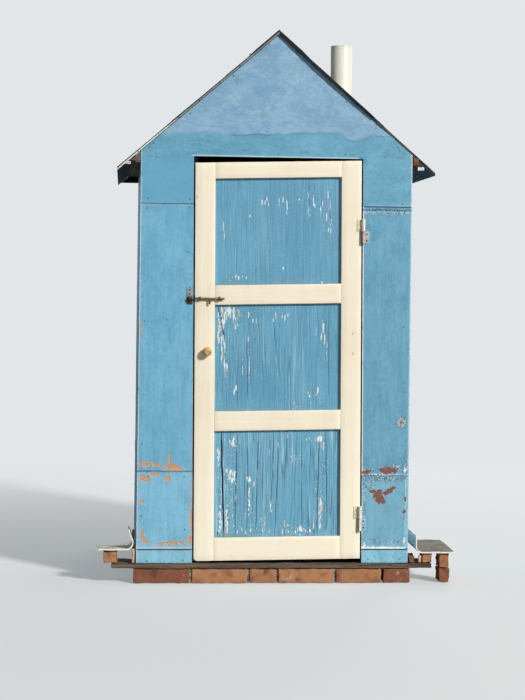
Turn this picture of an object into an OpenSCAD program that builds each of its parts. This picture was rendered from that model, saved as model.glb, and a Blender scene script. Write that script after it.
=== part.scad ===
// Village outhouse: a timber frame clad in painted hardboard, with a racked framed door,
// a steep felted roof, a brick footing course and a plastic vent pipe behind it.
// Millimetres. X runs along the front to the right, Y goes in through the door, Z is up.
// The origin is on the ground, in the plane of the front sheets, at the middle of the front.

/* [Walls] */
// Width over the front sheets
wall_w = 1220; // [1020:10:1500]
// Depth over the front and rear sheets
wall_d = 1200; // [1000:10:1500]
// Height of the roof boarding's underside over the faces of the side walls
wall_h = 1924; // [1800:1:2100]
// Thickness of the hardboard sheets
sheet_t = 5; // [3:0.5:9]
// Gap left between two sheets at a seam
seam_gap = 2; // [1:0.5:4]
// Height of the gable sheet's lower edge
upper_seam = 1692; // [1500:1:1800]
// Height of the seam low on the left of the door
lower_seam_left = 499; // [350:1:650]
// Height of the seam low on the right of the door
lower_seam_right = 482; // [350:1:650]
// Height of the narrow strips at the foot of the front
plinth_strip_h = 62; // [40:1:100]
// Strip of corner post left bare beside the lower right sheets
bare_corner = 11; // [0:1:25]

/* [Frame] */
// Side of the square frame timbers
timber = 50; // [40:1:60]
// Thickness of the battens behind the seams
batten_t = 30; // [20:1:40]
// Depth of the wall plates at their outer faces
plate_h = 46; // [30:1:80]

/* [Base] */
// Height of the brick course
footing_h = 65; // [50:1:90]
// Width of the brick course
footing_w = 120; // [100:1:150]
// How far the bricks stand out past the sheets
footing_out = 12; // [0:1:40]
// Thickness of the planks that lie on the bricks
sill_t = 25; // [18:1:40]
// Width of the planks that lie on the bricks
sill_w = 150; // [130:1:200]
// How far the front plank runs past each side wall
sill_end = 110; // [60:1:160]
// How far the front plank stands out past the sheets
sill_out = 8; // [0:1:20]

/* [Floor] */
// Thickness of the floor boards
floor_t = 25; // [18:1:35]
// Number of floor boards from front to back
floor_boards_n = 8; // [6:1:10]
// Gap between the floor boards
floor_gap = 3; // [2:0.5:6]
// Width of the hole in the floor
hole_w = 240; // [180:5:300]
// Number of the first board that the hole cuts, counted from the door
hole_board = 5; // [4:1:5]

/* [Roof] */
// Pitch of the roof in degrees
roof_pitch = 41; // [30:1:50]
// Overhang of the roof past the side walls
eave_over = 105; // [60:5:160]
// Overhang of the roof past the front and rear sheets
verge_over = 28; // [15:1:60]
// Overhang of the right slope past the front sheets, where it stands out most
verge_out = 14; // [10:1:40]
// Overhang of the same slope at the ridge
verge_peak = 8; // [6:1:40]
// Overhang of the same slope at its lower end
verge_low = 5; // [3:1:40]
// Distance from the ridge over which the right slope stands out most
out_reach = 400; // [250:10:450]
// Distance from the ridge at which its overhang is down to the lower one
out_end = 530; // [460:10:600]
// Thickness of the roof boarding
roof_t = 8; // [5:0.5:15]
// Thickness of the felt
felt_t = 3; // [2:0.5:5]
// Reach of the felt strip down each side of the ridge
ridge_strip = 140; // [80:5:200]
// Depth of the rafters
rafter_h = 55; // [40:1:80]
// Width of the ridge beam
ridge_beam_w = 40; // [30:1:60]
// Depth of the ridge beam
ridge_beam_h = 60; // [40:1:90]
// Play between the roof boarding and what it lies on
roof_bed = 0.2; // [0.1:0.1:0.5]
// Depth of the eave fillets at the side walls
fillet_h = 46; // [30:1:80]

/* [Door] */
// Width of the door
door_w = 747; // [600:1:850]
// Height of the door along its latch edge
door_h = 1776; // [1500:1:1850]
// Height of the door's latch corner over the ground
door_foot = 99; // [97:1:140]
// Distance of the door's latch edge from the middle, at the foot
door_left = 354; // [300:1:380]
// How far the stiles lean towards the latch side from foot to head
door_lean = 13; // [0:1:20]
// How much higher the foot is at the hinge edge
foot_rise = 11; // [0:1:20]
// How much higher the head is at the hinge edge
head_rise = 22; // [0:1:25]
// Thickness of the planted frame
door_frame_t = 14; // [10:1:20]
// Thickness of the boards behind the frame
door_board_t = 20; // [15:1:25]
// Width of the stiles
stile_w = 90; // [60:1:120]
// Width of the top rail
top_rail_w = 72; // [50:1:120]
// Width of the two middle rails
mid_rail_w = 87; // [60:1:120]
// Width of the bottom rail
bottom_rail_w = 102; // [60:1:140]
// Gap beside the door's latch edge
latch_gap = 7; // [7:0.5:12]
// Gap beside the door's hinge edge
hinge_gap = 6; // [6:0.5:12]
// Gap over the door at the hinge edge
head_gap = 7; // [6:0.5:12]
// Width of the rebate that the door closes against
stop_w = 20; // [15:1:25]
// Gap between the shut door and its stop
stop_gap = 6; // [5:0.5:10]

/* [Hinges] */
// Length of one hinge, both halves
hinge_h = 110; // [80:1:140]
// Radius of the knuckles
knuckle_r = 8; // [7:0.5:10]
// Radius of the pins
pin_r = 4; // [3:0.5:5]
// Radial clearance of the pins in the door's knuckles
pin_clearance = 0.05; // [0.02:0.01:0.1]
// How far a pin stops short of the hinge's top
pin_short = 6; // [2:1:15]
// Gap between the two halves of a hinge
knuckle_gap = 0.4; // [0.3:0.1:0.8]
// Width of a hinge leaf from the pin's axis
leaf_w = 28; // [25:1:45]
// Thickness of a hinge leaf
leaf_t = 2; // [1.5:0.5:3]
// Distance from the pin's axis at which a leaf joins its knuckle
leaf_root = 2.3; // [2.2:0.1:3]
// Gap between the knuckles and the face of the sheets
knuckle_lift = 0.3; // [0.2:0.1:0.6]
// Height of the lower hinge's middle
hinge_low = 290; // [200:1:450]
// Height of the upper hinge's middle
hinge_high = 1580; // [1400:1:1750]

/* [Latch] */
// Height of the bolt
bolt_z = 1270; // [900:1:1500]
// Radius of the bolt rod
bolt_r = 5; // [4:0.5:7]
// Length of the bolt rod
bolt_len = 132; // [110:1:180]
// Distance of the bolt rod from the door's face
bolt_stand = 5.5; // [5:0.5:8]
// Radial clearance of the bolt in its staples
bolt_clearance = 0.08; // [0.03:0.01:0.1]
// Radius of the handle that hangs from the bolt
handle_r = 4; // [3:0.5:4]
// Width of one staple
staple_w = 10; // [6:1:14]
// Wall of a staple round the bolt
staple_wall = 3; // [2:0.5:4]
// Distance of a staple from the bolt's end
staple_in = 18; // [14:1:30]
// Radius of the hole in the keeper
keeper_r = 6.5; // [6.5:0.5:9]
// Length of the handle that hangs from the bolt
bolt_handle = 26; // [18:1:40]
// Width of the keeper's plate
keeper_w = 26; // [20:1:35]
// Height of the keeper's plate
keeper_h = 74; // [50:1:100]
// How far the keeper's plate reaches below the bolt
keeper_drop = 26; // [14:1:35]
// Thickness of the keeper's plate
keeper_t = 3; // [2:0.5:5]
// Wall of the keeper's loop round its hole
keeper_wall = 3; // [2:0.5:5]
// Length of the keeper's loop
keeper_loop = 16; // [8:1:18]
// Diameter of the wooden knob
knob_d = 40; // [30:1:50]
// How far the knob stands out from the door
knob_reach = 35; // [28:1:45]
// Distance of the knob from the door's latch edge
knob_in = 56; // [35:1:65]
// Height of the knob
knob_z = 1034; // [900:1:1200]

/* [Vent pipe] */
// Outer diameter of the pipe
pipe_d = 110; // [90:1:125]
// Wall of the pipe
pipe_wall = 3; // [2:0.5:5]
// Height of the pipe's top
pipe_top = 2587; // [2300:1:2800]
// Distance of the pipe from the middle
pipe_x = 446; // [300:1:500]
// Gap between the roof's rear edge and the pipe
pipe_gap = 8; // [6:1:30]
// Height of a clamp round the pipe
clamp_h = 22; // [15:1:30]
// Thickness of a clamp
clamp_t = 2.5; // [2:0.5:4]

/* [Aprons] */
// Thickness of the sheet offcuts at the foot of the side walls
apron_t = 5; // [3:0.5:6]
// Length of the left offcut along its wall
apron_left_d = 110; // [80:10:300]
// Width of the flat part of the left offcut
apron_left_w = 124; // [110:1:150]
// Outer radius of the left offcut's curl
apron_left_r = 34; // [25:1:40]
// Angle that the left curl turns through
apron_left_turn = 110; // [70:1:120]
// Straight tip over the left curl
apron_left_tip = 50; // [20:1:70]
// Gap between the left offcut and its wall
apron_left_gap = 12; // [4:1:40]
// Height of the brick bat under the left offcut
bat_left_h = 58; // [40:1:80]
// Length of the right offcut along its wall
apron_right_d = 370; // [130:10:600]
// Width of the flat part of the right offcut
apron_right_w = 149; // [140:1:180]
// Outer radius of the right offcut's curl
apron_right_r = 30; // [25:1:40]
// Angle that the right curl turns through
apron_right_turn = 90; // [70:1:120]
// Straight tip over the right curl
apron_right_tip = 45; // [20:1:70]
// Gap between the right offcut and its wall
apron_right_gap = 36; // [4:1:40]
// Height of the brick bats under the right offcut
bat_right_h = 44; // [30:1:60]
// Depth of the brick bats
bat_d = 100; // [60:1:120]
// Height of the bat nearest the right wall
bat_low_h = 33; // [20:1:44]
// Length of the bat on the plank's right end
bat_end_w = 44; // [30:1:60]
// Distance from the plank's right end to the bat on the ground
bat_out = 32; // [20:1:50]
// Length of the bat on the ground
bat_ground_w = 50; // [40:1:70]
// Length of the left bat that lies on the plank
bat_left_in = 30; // [20:1:40]
// Length of the left bat past the plank's end
bat_left_out = 35; // [10:1:40]

/* [Hidden] */

// Half widths and the faces of the frame behind the sheets
half_w = wall_w / 2;
frame_x = half_w - sheet_t;
frame_y0 = sheet_t;
frame_y1 = wall_d - sheet_t;
inner_x = frame_x - timber;

// Levels from the ground up
sill_top = footing_h + sill_t;
rail_top = sill_top + timber;
floor_top = rail_top + floor_t;

// Roof surfaces: heights of the boarding's underside and top over a distance x from the ridge
roof_slope = tan(roof_pitch);
roof_board_v = roof_t / cos(roof_pitch);
felt_v = felt_t / cos(roof_pitch);
rafter_v = rafter_h / cos(roof_pitch);
eave_x = half_w + eave_over;
function under_z(x) = wall_h + roof_slope * (half_w - abs(x));
function bed_z(x) = under_z(x) - roof_bed;
function board_z(x) = under_z(x) + roof_board_v;
function felt_z(x) = board_z(x) + felt_v;

// Door leaf: a quadrilateral out of square, with u from the latch edge and v from the foot
door_t = door_frame_t + door_board_t;
door_foot_l = [-door_left, door_foot];
door_foot_r = [door_w - door_left, door_foot + foot_rise];
door_head_l = [-door_left - door_lean, door_foot + door_h];
door_head_r = [door_w - door_left - door_lean, door_foot + door_h + head_rise];
function blend(a, b, k) = a + (b - a) * k;
function leaf_pt(u, v) = blend(
    blend(door_foot_l, door_foot_r, u / door_w),
    blend(door_head_l, door_head_r, u / door_w),
    v / door_h);

// The opening leans with the door, one gap away from it
function open_l(z) = -door_left - latch_gap - door_lean * (z - door_foot) / door_h;
function open_r(z) = door_w - door_left + hinge_gap - door_lean * (z - door_foot) / door_h;
open_top = door_head_r[1] + head_gap;
stop_y = door_t + stop_gap;

// The hinge pins stand on one upright axis in front of the gap beside the door
axis_x = (open_r(hinge_low) - hinge_gap + open_r(hinge_high)) / 2;
axis_y = -knuckle_r - knuckle_lift;

// A flat piece drawn in the X-Z plane, from y0 to y1
module slab(points, y0, y1) {
    translate([0, y1, 0])
        rotate([90, 0, 0])
            linear_extrude(height = y1 - y0)
                polygon(points);
}

// A box from one corner to the other
module block(a, b) {
    translate(a)
        cube(b - a);
}

// The same piece on the left and on the right
module both_sides() {
    children();
    mirror([1, 0, 0])
        children();
}

// Four-sided piece of the door leaf, between u0 and u1 and between v0 and v1
module leaf_piece(u0, u1, v0, v1, y0, y1) {
    slab([leaf_pt(u0, v0), leaf_pt(u1, v0), leaf_pt(u1, v1), leaf_pt(u0, v1)], y0, y1);
}

module footing_front() {
    color("#8d5340")
        block([-half_w - footing_out, -footing_out, 0],
              [half_w + footing_out, footing_w - footing_out, footing_h]);
}

module footing_rear() {
    color("#8d5340")
        block([-half_w - footing_out, wall_d + footing_out - footing_w, 0],
              [half_w + footing_out, wall_d + footing_out, footing_h]);
}

// The side courses run between the front and rear ones
module footing_sides() {
    color("#8d5340")
        both_sides()
            block([half_w + footing_out - footing_w, footing_w - footing_out, 0],
                  [half_w + footing_out, wall_d + footing_out - footing_w, footing_h]);
}

module sill_front() {
    color("#5f4a41")
        block([-half_w - sill_end, -sill_out, footing_h],
              [half_w + sill_end, sill_w - sill_out, sill_top]);
}

module sill_rear() {
    color("#5f4a41")
        block([-half_w, wall_d - sill_w, footing_h], [half_w, wall_d, sill_top]);
}

// Side planks, between the front and rear ones
module sill_sides() {
    color("#5f4a41")
        both_sides()
            block([half_w + footing_out - footing_w, sill_w - sill_out, footing_h],
                  [half_w, wall_d - sill_w, sill_top]);
}

module floor_rails() {
    color("#8a7458")
        both_sides()
            block([inner_x, frame_y0, sill_top], [frame_x, frame_y1, rail_top]);
}

module floor_rail_rear() {
    color("#8a7458")
        block([-inner_x, frame_y1 - timber, sill_top], [inner_x, frame_y1, rail_top]);
}

// Two joists, one on each side of the hole
module floor_joists() {
    color("#8a7458")
        both_sides()
            block([hole_w / 2 + timber / 2, floor_y0, sill_top],
                  [hole_w / 2 + timber * 1.5, frame_y1 - timber, rail_top]);
}

// Short pieces that back the plinth strips between the side rails and the door posts
module front_noggins() {
    color("#8a7458") {
        front_filling_left(sill_top, rail_top, frame_y0 + timber);
        front_filling_right(sill_top, rail_top, frame_y0 + timber);
    }
}

// Boards laid across, two of them cut short on each side of the hole
floor_y0 = frame_y0 + timber + floor_gap;
floor_y1 = frame_y1 - timber - floor_gap;
floor_pitch = (floor_y1 - floor_y0 + floor_gap) / floor_boards_n;
module floor_boards() {
    color("#9c8362")
        for (i = [0 : floor_boards_n - 1]) {
            y0 = floor_y0 + i * floor_pitch;
            y1 = y0 + floor_pitch - floor_gap;
            if (i == hole_board - 1 || i == hole_board)
                both_sides()
                    block([hole_w / 2, y0, rail_top], [frame_x, y1, floor_top]);
            else
                block([-frame_x, y0, rail_top], [frame_x, y1, floor_top]);
        }
}

// The plates lie on the corner posts, so the posts end where the plates begin
plate_bottom = bed_z(frame_x) - plate_h;
module corner_posts() {
    color("#8a7458")
        both_sides()
            for (y = [frame_y0, frame_y1 - timber])
                block([inner_x, y, rail_top], [frame_x, y + timber, plate_bottom]);
}

// The latch post is rebated, so that the door closes against it
module door_post_latch() {
    color("#8a7458")
        union() {
            slab([[open_l(sill_top) - timber, sill_top], [open_l(sill_top), sill_top],
                  [open_l(open_top), open_top], [open_l(open_top) - timber, open_top]],
                 frame_y0, frame_y0 + timber);
            slab([[open_l(sill_top) - timber, sill_top], [open_l(sill_top) + stop_w, sill_top],
                  [open_l(open_top) + stop_w, open_top], [open_l(open_top) - timber, open_top]],
                 stop_y, frame_y0 + timber);
        }
}

module door_post_hinge() {
    color("#8a7458")
        slab([[open_r(sill_top), sill_top], [open_r(sill_top) + timber, sill_top],
              [open_r(open_top) + timber, open_top], [open_r(open_top), open_top]],
             frame_y0, frame_y0 + timber);
}

// The tie beams carry the rafters, and the front one is the door's head.
// Their upper corners are planed off where the roof comes down on them.
tie_top = open_top + timber;
tie_end_z = min(tie_top, bed_z(inner_x));
rafter_heel = min(inner_x, (bed_z(0) - tie_top) / roof_slope);
module tie_beams() {
    color("#8a7458")
        for (y = [frame_y0, frame_y1 - timber])
            slab([[-inner_x, open_top], [inner_x, open_top], [inner_x, tie_end_z],
                  [rafter_heel, tie_top], [-rafter_heel, tie_top], [-inner_x, tie_end_z]],
                 y, y + timber);
}

// The wall plates are planed along their tops to the pitch of the roof
module wall_plates() {
    color("#8a7458")
        both_sides()
            slab([[inner_x, plate_bottom], [frame_x, plate_bottom],
                  [frame_x, bed_z(frame_x)], [inner_x, bed_z(inner_x)]],
                 frame_y0, frame_y1);
}

// Short front pieces from a corner post to a door post, between two heights
module front_filling_left(z0, z1, y1) {
    slab([[-inner_x, z0], [open_l(z0) - timber, z0], [open_l(z1) - timber, z1], [-inner_x, z1]],
         frame_y0, y1);
}

module front_filling_right(z0, z1, y1) {
    slab([[open_r(z0) + timber, z0], [inner_x, z0], [inner_x, z1], [open_r(z1) + timber, z1]],
         frame_y0, y1);
}

// Battens between the posts, behind the seams of the sheets
module wall_battens() {
    batten_y1 = frame_y0 + batten_t;
    color("#8a7458") {
        for (z = [upper_seam, lower_seam_left]) {
            both_sides()
                block([frame_x - batten_t, frame_y0 + timber, z - timber / 2],
                      [frame_x, frame_y1 - timber, z + timber / 2]);
            block([-inner_x, frame_y1 - batten_t, z - timber / 2],
                  [inner_x, frame_y1, z + timber / 2]);
            front_filling_left(z - timber / 2, z + timber / 2, batten_y1);
        }
        for (z = [upper_seam, lower_seam_right])
            front_filling_right(z - timber / 2, z + timber / 2, batten_y1);
    }
}

// Rafters, cut level where they stand on the tie beams and plumb at the ridge beam
rafter_x0 = ridge_beam_w / 2;
module rafters() {
    color("#8a7458")
        both_sides()
            for (y = [frame_y0, frame_y1 - timber])
                slab([[rafter_x0, bed_z(rafter_x0)], [rafter_heel, bed_z(rafter_heel)],
                      [rafter_heel, tie_top],
                      [(bed_z(0) - rafter_v - tie_top) / roof_slope, tie_top],
                      [rafter_x0, bed_z(rafter_x0) - rafter_v]],
                     y, y + timber);
}

module ridge_beam() {
    color("#8a7458")
        slab([[0, bed_z(0)], [rafter_x0, bed_z(rafter_x0)],
              [rafter_x0, bed_z(rafter_x0) - ridge_beam_h],
              [-rafter_x0, bed_z(rafter_x0) - ridge_beam_h],
              [-rafter_x0, bed_z(rafter_x0)]],
             frame_y0, frame_y1);
}

// A three-cornered fillet under the eave, outside the wall, with a level underside
module eave_fillet(front_y) {
    fillet_z = bed_z(half_w) - fillet_h;
    slab([[half_w, fillet_z], [half_w + fillet_h / roof_slope, fillet_z], [half_w, bed_z(half_w)]],
         front_y, wall_d + verge_over - sheet_t);
}

module eave_fillet_left() {
    color("#6f5b4c")
        mirror([1, 0, 0])
            eave_fillet(-verge_over + sheet_t);
}

module eave_fillet_right() {
    color("#7d4a3a")
        eave_fillet(0);
}

// The gable sheet reaches down on both sides of the door's head
module gable_sheet_front() {
    color("#5aa6cf")
        slab([[-half_w, upper_seam], [open_l(upper_seam), upper_seam],
              [open_l(open_top), open_top], [open_r(open_top), open_top],
              [open_r(upper_seam), upper_seam], [half_w, upper_seam],
              [half_w, bed_z(half_w)], [0, bed_z(0)], [-half_w, bed_z(half_w)]],
             0, sheet_t);
}

// A front sheet on the left of the door, between two heights
module left_sheet(z0, z1) {
    slab([[-half_w, z0], [open_l(z0), z0], [open_l(z1), z1], [-half_w, z1]], 0, sheet_t);
}

// A front sheet on the right of the door, which may stop short of the corner
module right_sheet(z0, z1, short = 0) {
    slab([[open_r(z0), z0], [half_w - short, z0], [half_w - short, z1], [open_r(z1), z1]],
         0, sheet_t);
}

plinth_top = sill_top + plinth_strip_h;
module front_sheet_left() {
    color("#4f9dc9")
        left_sheet(lower_seam_left + seam_gap / 2, upper_seam - seam_gap);
}

module front_sheet_right() {
    color("#4f9dc9")
        right_sheet(lower_seam_right + seam_gap / 2, upper_seam - seam_gap);
}

module lower_sheet_left() {
    color("#4f9dc9")
        left_sheet(plinth_top + seam_gap, lower_seam_left - seam_gap / 2);
}

module lower_sheet_right() {
    color("#4f9dc9")
        right_sheet(plinth_top + seam_gap, lower_seam_right - seam_gap / 2, bare_corner);
}

module plinth_strips() {
    color("#4f9dc9") {
        left_sheet(sill_top, plinth_top);
        right_sheet(sill_top, plinth_top, bare_corner);
    }
}

// The sheets of one side wall, between the front and rear ones
module side_sheets() {
    side_top = under_z(half_w) - seam_gap;
    block([frame_x, sheet_t, sill_top], [half_w, wall_d - sheet_t, lower_seam_left - seam_gap / 2]);
    block([frame_x, sheet_t, lower_seam_left + seam_gap / 2], [half_w, wall_d - sheet_t, side_top]);
}

module side_sheets_left() {
    color("#3f7896")
        mirror([1, 0, 0])
            side_sheets();
}

module side_sheets_right() {
    color("#3f7896")
        side_sheets();
}

// Two rear sheets with the gable sheet over them
module rear_sheets() {
    color("#4f9dc9") {
        block([-half_w, wall_d - sheet_t, sill_top],
              [half_w, wall_d, lower_seam_left - seam_gap / 2]);
        block([-half_w, wall_d - sheet_t, lower_seam_left + seam_gap / 2],
              [half_w, wall_d, upper_seam - seam_gap]);
        slab([[-half_w, upper_seam], [half_w, upper_seam], [half_w, bed_z(half_w)],
              [0, bed_z(0)], [-half_w, bed_z(half_w)]],
             wall_d - sheet_t, wall_d);
    }
}

// One layer of a roof slope, between two surfaces that follow the pitch
module roof_layer(low_v, high_v, x1, y0) {
    slab([[0, under_z(0) + low_v], [x1, under_z(x1) + low_v],
          [x1, under_z(x1) + high_v], [0, under_z(0) + high_v]],
         y0, wall_d + verge_over);
}

// Plan of the right slope, which was cut back unevenly along the front
module right_plan() {
    linear_extrude(height = under_z(0) * 2)
        polygon([[-1, -verge_peak], [out_reach / 3, -verge_out], [out_reach, -verge_out],
                 [out_end, -verge_low], [eave_x + 1, -verge_low],
                 [eave_x + 1, wall_d + verge_over + 1], [-1, wall_d + verge_over + 1]]);
}

module roof_board_right() {
    color("#b9b8b0")
        intersection() {
            roof_layer(0, roof_board_v, eave_x, -verge_out);
            right_plan();
        }
}

module roof_board_left() {
    color("#b9b8b0")
        mirror([1, 0, 0])
            roof_layer(0, roof_board_v, eave_x, -verge_over);
}

module roof_felt_right() {
    color("#35363a")
        intersection() {
            roof_layer(roof_board_v, roof_board_v + felt_v, eave_x, -verge_out);
            right_plan();
        }
}

module roof_felt_left() {
    color("#35363a")
        mirror([1, 0, 0])
            roof_layer(roof_board_v, roof_board_v + felt_v, eave_x, -verge_over);
}

// A strip of felt folded over the ridge, which follows the boards on each side of it
module ridge_felt() {
    low_v = roof_board_v + felt_v + roof_bed;
    color("#2e2f33") {
        intersection() {
            roof_layer(low_v, low_v + felt_v, ridge_strip, -verge_out);
            right_plan();
        }
        mirror([1, 0, 0])
            roof_layer(low_v, low_v + felt_v, ridge_strip, -verge_over);
    }
}

// The pipe stands on the ground behind the rear wall, clear of the roof's edge
pipe_r = pipe_d / 2;
pipe_y = wall_d + verge_over + pipe_gap + pipe_r;
module vent_pipe() {
    color("#dcd9cc")
        translate([pipe_x, pipe_y, 0])
            difference() {
                cylinder(h = pipe_top, r = pipe_r, $fn = 96);
                translate([0, 0, -1])
                    cylinder(h = pipe_top + 2, r = pipe_r - pipe_wall, $fn = 96);
            }
}

// A split ring on a threaded stem, with a round plate against the rear wall
clamp_gap = 0.3;
stem_r = 4;
plate_r = 16;
plate_t = 3;
module pipe_clamp(z) {
    translate([pipe_x, pipe_y, z]) {
        difference() {
            cylinder(h = clamp_h, r = pipe_r + clamp_gap + clamp_t, $fn = 96);
            translate([0, 0, -1])
                cylinder(h = clamp_h + 2, r = pipe_r + clamp_gap, $fn = 96);
        }
        translate([0, -pipe_r - clamp_gap - clamp_t / 2, clamp_h / 2])
            rotate([90, 0, 0])
                cylinder(h = pipe_y - wall_d - pipe_r - clamp_gap - clamp_t / 2, r = stem_r, $fn = 32);
        translate([0, wall_d - pipe_y + plate_t, clamp_h / 2])
            rotate([90, 0, 0])
                cylinder(h = plate_t, r = plate_r, $fn = 48);
    }
}

module pipe_clamps() {
    color("#9a9a96") {
        pipe_clamp(lower_seam_left - clamp_h / 2);
        pipe_clamp(upper_seam - clamp_h / 2);
    }
}

// Profile of an offcut, with its wall on the left: flat on the bats, curled up, then straight.
// Its origin is under the curl's middle, at the underside of the flat part.
tip_ease = 0.2;
module apron_profile(flat_w, curl_r, turn, tip) {
    square([flat_w, apron_t]);
    translate([0, curl_r]) {
        difference() {
            circle(r = curl_r, $fn = 96);
            circle(r = curl_r - apron_t, $fn = 96);
            translate([0, -2 * curl_r])
                square([2 * curl_r, 4 * curl_r]);
            rotate(-turn)
                translate([-2 * curl_r, -2 * curl_r])
                    square([2 * curl_r, 4 * curl_r]);
        }
        rotate(-turn)
            translate([-tip, -curl_r + tip_ease])
                square([tip + tip_ease, apron_t - 2 * tip_ease]);
    }
}

// An offcut beside the right wall
module apron(gap, length, z, flat_w, curl_r, turn, tip) {
    translate([half_w + gap + curl_r, length - sill_out, z])
        rotate([90, 0, 0])
            linear_extrude(height = length)
                apron_profile(flat_w, curl_r, turn, tip);
}

module apron_right() {
    color("#b5b3a8")
        apron(apron_right_gap, apron_right_d, sill_top + bat_right_h,
              apron_right_w, apron_right_r, apron_right_turn, apron_right_tip);
}

module apron_left() {
    color("#c9c5b6")
        mirror([1, 0, 0])
            apron(apron_left_gap, apron_left_d, sill_top + bat_left_h,
                  apron_left_w, apron_left_r, apron_left_turn, apron_left_tip);
}

// Brick bats under the offcuts: on the plank's ends, and one on the ground past its right end
bat_gap = 3;
module apron_packing() {
    sill_x = half_w + sill_end;
    color("#a9683f") {
        block([half_w + bat_gap, 0, sill_top],
              [half_w + apron_right_gap, bat_d, sill_top + bat_low_h]);
        block([sill_x - bat_end_w, 0, sill_top],
              [sill_x + bat_gap, bat_d, sill_top + bat_right_h]);
        block([sill_x + bat_out, 0, 0],
              [sill_x + bat_out + bat_ground_w, bat_d, sill_top + bat_right_h]);
        block([-sill_x - bat_left_out, 0, sill_top],
              [-sill_x + bat_left_in, bat_d, sill_top + bat_left_h]);
    }
}

// The door, from its boards to its ironwork
module door_boards() {
    color("#4c9ac8")
        leaf_piece(0, door_w, 0, door_h, door_frame_t, door_t);
}

module door_stile_latch() {
    color("#e9e2cf")
        leaf_piece(0, stile_w, 0, door_h, 0, door_frame_t);
}

module door_stile_hinge() {
    color("#e9e2cf")
        leaf_piece(door_w - stile_w, door_w, 0, door_h, 0, door_frame_t);
}

// Four rails between the stiles, which share out three panels of one height
panel_h = (door_h - bottom_rail_w - top_rail_w - 2 * mid_rail_w) / 3;
rail_feet = [0, bottom_rail_w + panel_h, bottom_rail_w + 2 * panel_h + mid_rail_w, door_h - top_rail_w];
rail_widths = [bottom_rail_w, mid_rail_w, mid_rail_w, top_rail_w];
module door_rails() {
    color("#e9e2cf")
        for (i = [0 : 3])
            leaf_piece(stile_w, door_w - stile_w, rail_feet[i], rail_feet[i] + rail_widths[i],
                       0, door_frame_t);
}

// A turned knob: a foot, a cove and a ball whose outer end is turned flat
knob_x = leaf_pt(0, knob_z - door_foot)[0] + knob_in;
knob_r = knob_d / 2;
knob_foot_r = 12;
knob_foot_t = 5;
knob_flat = 4.8;
knob_cove = 8;
knob_cove_out = 0.8;
module door_knob() {
    ball_y = knob_reach + knob_flat - knob_r;
    color("#c79a5e")
        translate([knob_x, 0, knob_z])
            rotate([90, 0, 0])
                rotate_extrude($fn = 64)
                    difference() {
                        union() {
                            square([knob_foot_r, knob_foot_t]);
                            intersection() {
                                translate([0, ball_y])
                                    circle(r = knob_r, $fn = 64);
                                square([knob_r, knob_reach]);
                            }
                        }
                        translate([knob_r + knob_cove_out, knob_foot_t])
                            circle(r = knob_cove, $fn = 48);
                    }
}

half_hinge = (hinge_h - knuckle_gap) / 2;

// The wall's half of one hinge, below, with its pin standing up into the door's half
module hinge_wall_leaf(z) {
    translate([axis_x, axis_y, z - hinge_h / 2]) {
        cylinder(h = half_hinge, r = knuckle_r, $fn = 48);
        cylinder(h = hinge_h - pin_short, r = pin_r, $fn = 48);
    }
    block([axis_x + leaf_root, -leaf_t, z - hinge_h / 2],
          [axis_x + leaf_w, 0, z - hinge_h / 2 + half_hinge]);
}

// The door's half, above, bored for the pin
module hinge_door_leaf(z) {
    difference() {
        union() {
            translate([axis_x, axis_y, z + hinge_h / 2 - half_hinge])
                cylinder(h = half_hinge, r = knuckle_r, $fn = 48);
            block([axis_x - leaf_w, -leaf_t, z + hinge_h / 2 - half_hinge],
                  [axis_x - leaf_root, 0, z + hinge_h / 2]);
        }
        translate([axis_x, axis_y, z])
            cylinder(h = hinge_h, r = pin_r + pin_clearance, $fn = 48, center = true);
    }
}

module hinge_wall_leaves() {
    color("#a3785a") {
        hinge_wall_leaf(hinge_low);
        hinge_wall_leaf(hinge_high);
    }
}

module hinge_door_leaves() {
    color("#d8d0bb") {
        hinge_door_leaf(hinge_low);
        hinge_door_leaf(hinge_high);
    }
}

// The bolt is drawn back, with its tip level with the door's edge
bolt_tip = leaf_pt(0, bolt_z - door_foot)[0];
bolt_y = -bolt_r - bolt_stand;
staple_out = bolt_r + staple_wall;
module staple(x) {
    difference() {
        union() {
            block([x, bolt_y, bolt_z - staple_out], [x + staple_w, 0, bolt_z + staple_out]);
            translate([x, bolt_y, bolt_z])
                rotate([0, 90, 0])
                    cylinder(h = staple_w, r = staple_out, $fn = 48);
        }
        translate([x - 1, bolt_y, bolt_z])
            rotate([0, 90, 0])
                cylinder(h = staple_w + 2, r = bolt_r + bolt_clearance, $fn = 48);
    }
}

module bolt_staples() {
    color("#4b4034") {
        staple(bolt_tip + staple_in);
        staple(bolt_tip + bolt_len - staple_in - staple_w);
    }
}

// The keeper: a plate on the wall beside the gap, with a loop that takes the bolt
keeper_edge = 3;
loop_edge = 2;
keeper_x = open_l(bolt_z) - keeper_edge;
keeper_out = keeper_r + keeper_wall;
module bolt_keeper() {
    loop_x = keeper_x - loop_edge - keeper_loop;
    color("#6b3f2c")
        difference() {
            union() {
                block([keeper_x - keeper_w, -keeper_t, bolt_z - keeper_drop],
                      [keeper_x, 0, bolt_z - keeper_drop + keeper_h]);
                block([loop_x, bolt_y, bolt_z - keeper_out],
                      [loop_x + keeper_loop, 0, bolt_z + keeper_out]);
                translate([loop_x, bolt_y, bolt_z])
                    rotate([0, 90, 0])
                        cylinder(h = keeper_loop, r = keeper_out, $fn = 48);
            }
            translate([keeper_x - keeper_w - 1, bolt_y, bolt_z])
                rotate([0, 90, 0])
                    cylinder(h = keeper_w + 2, r = keeper_r, $fn = 48);
        }
}

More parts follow.
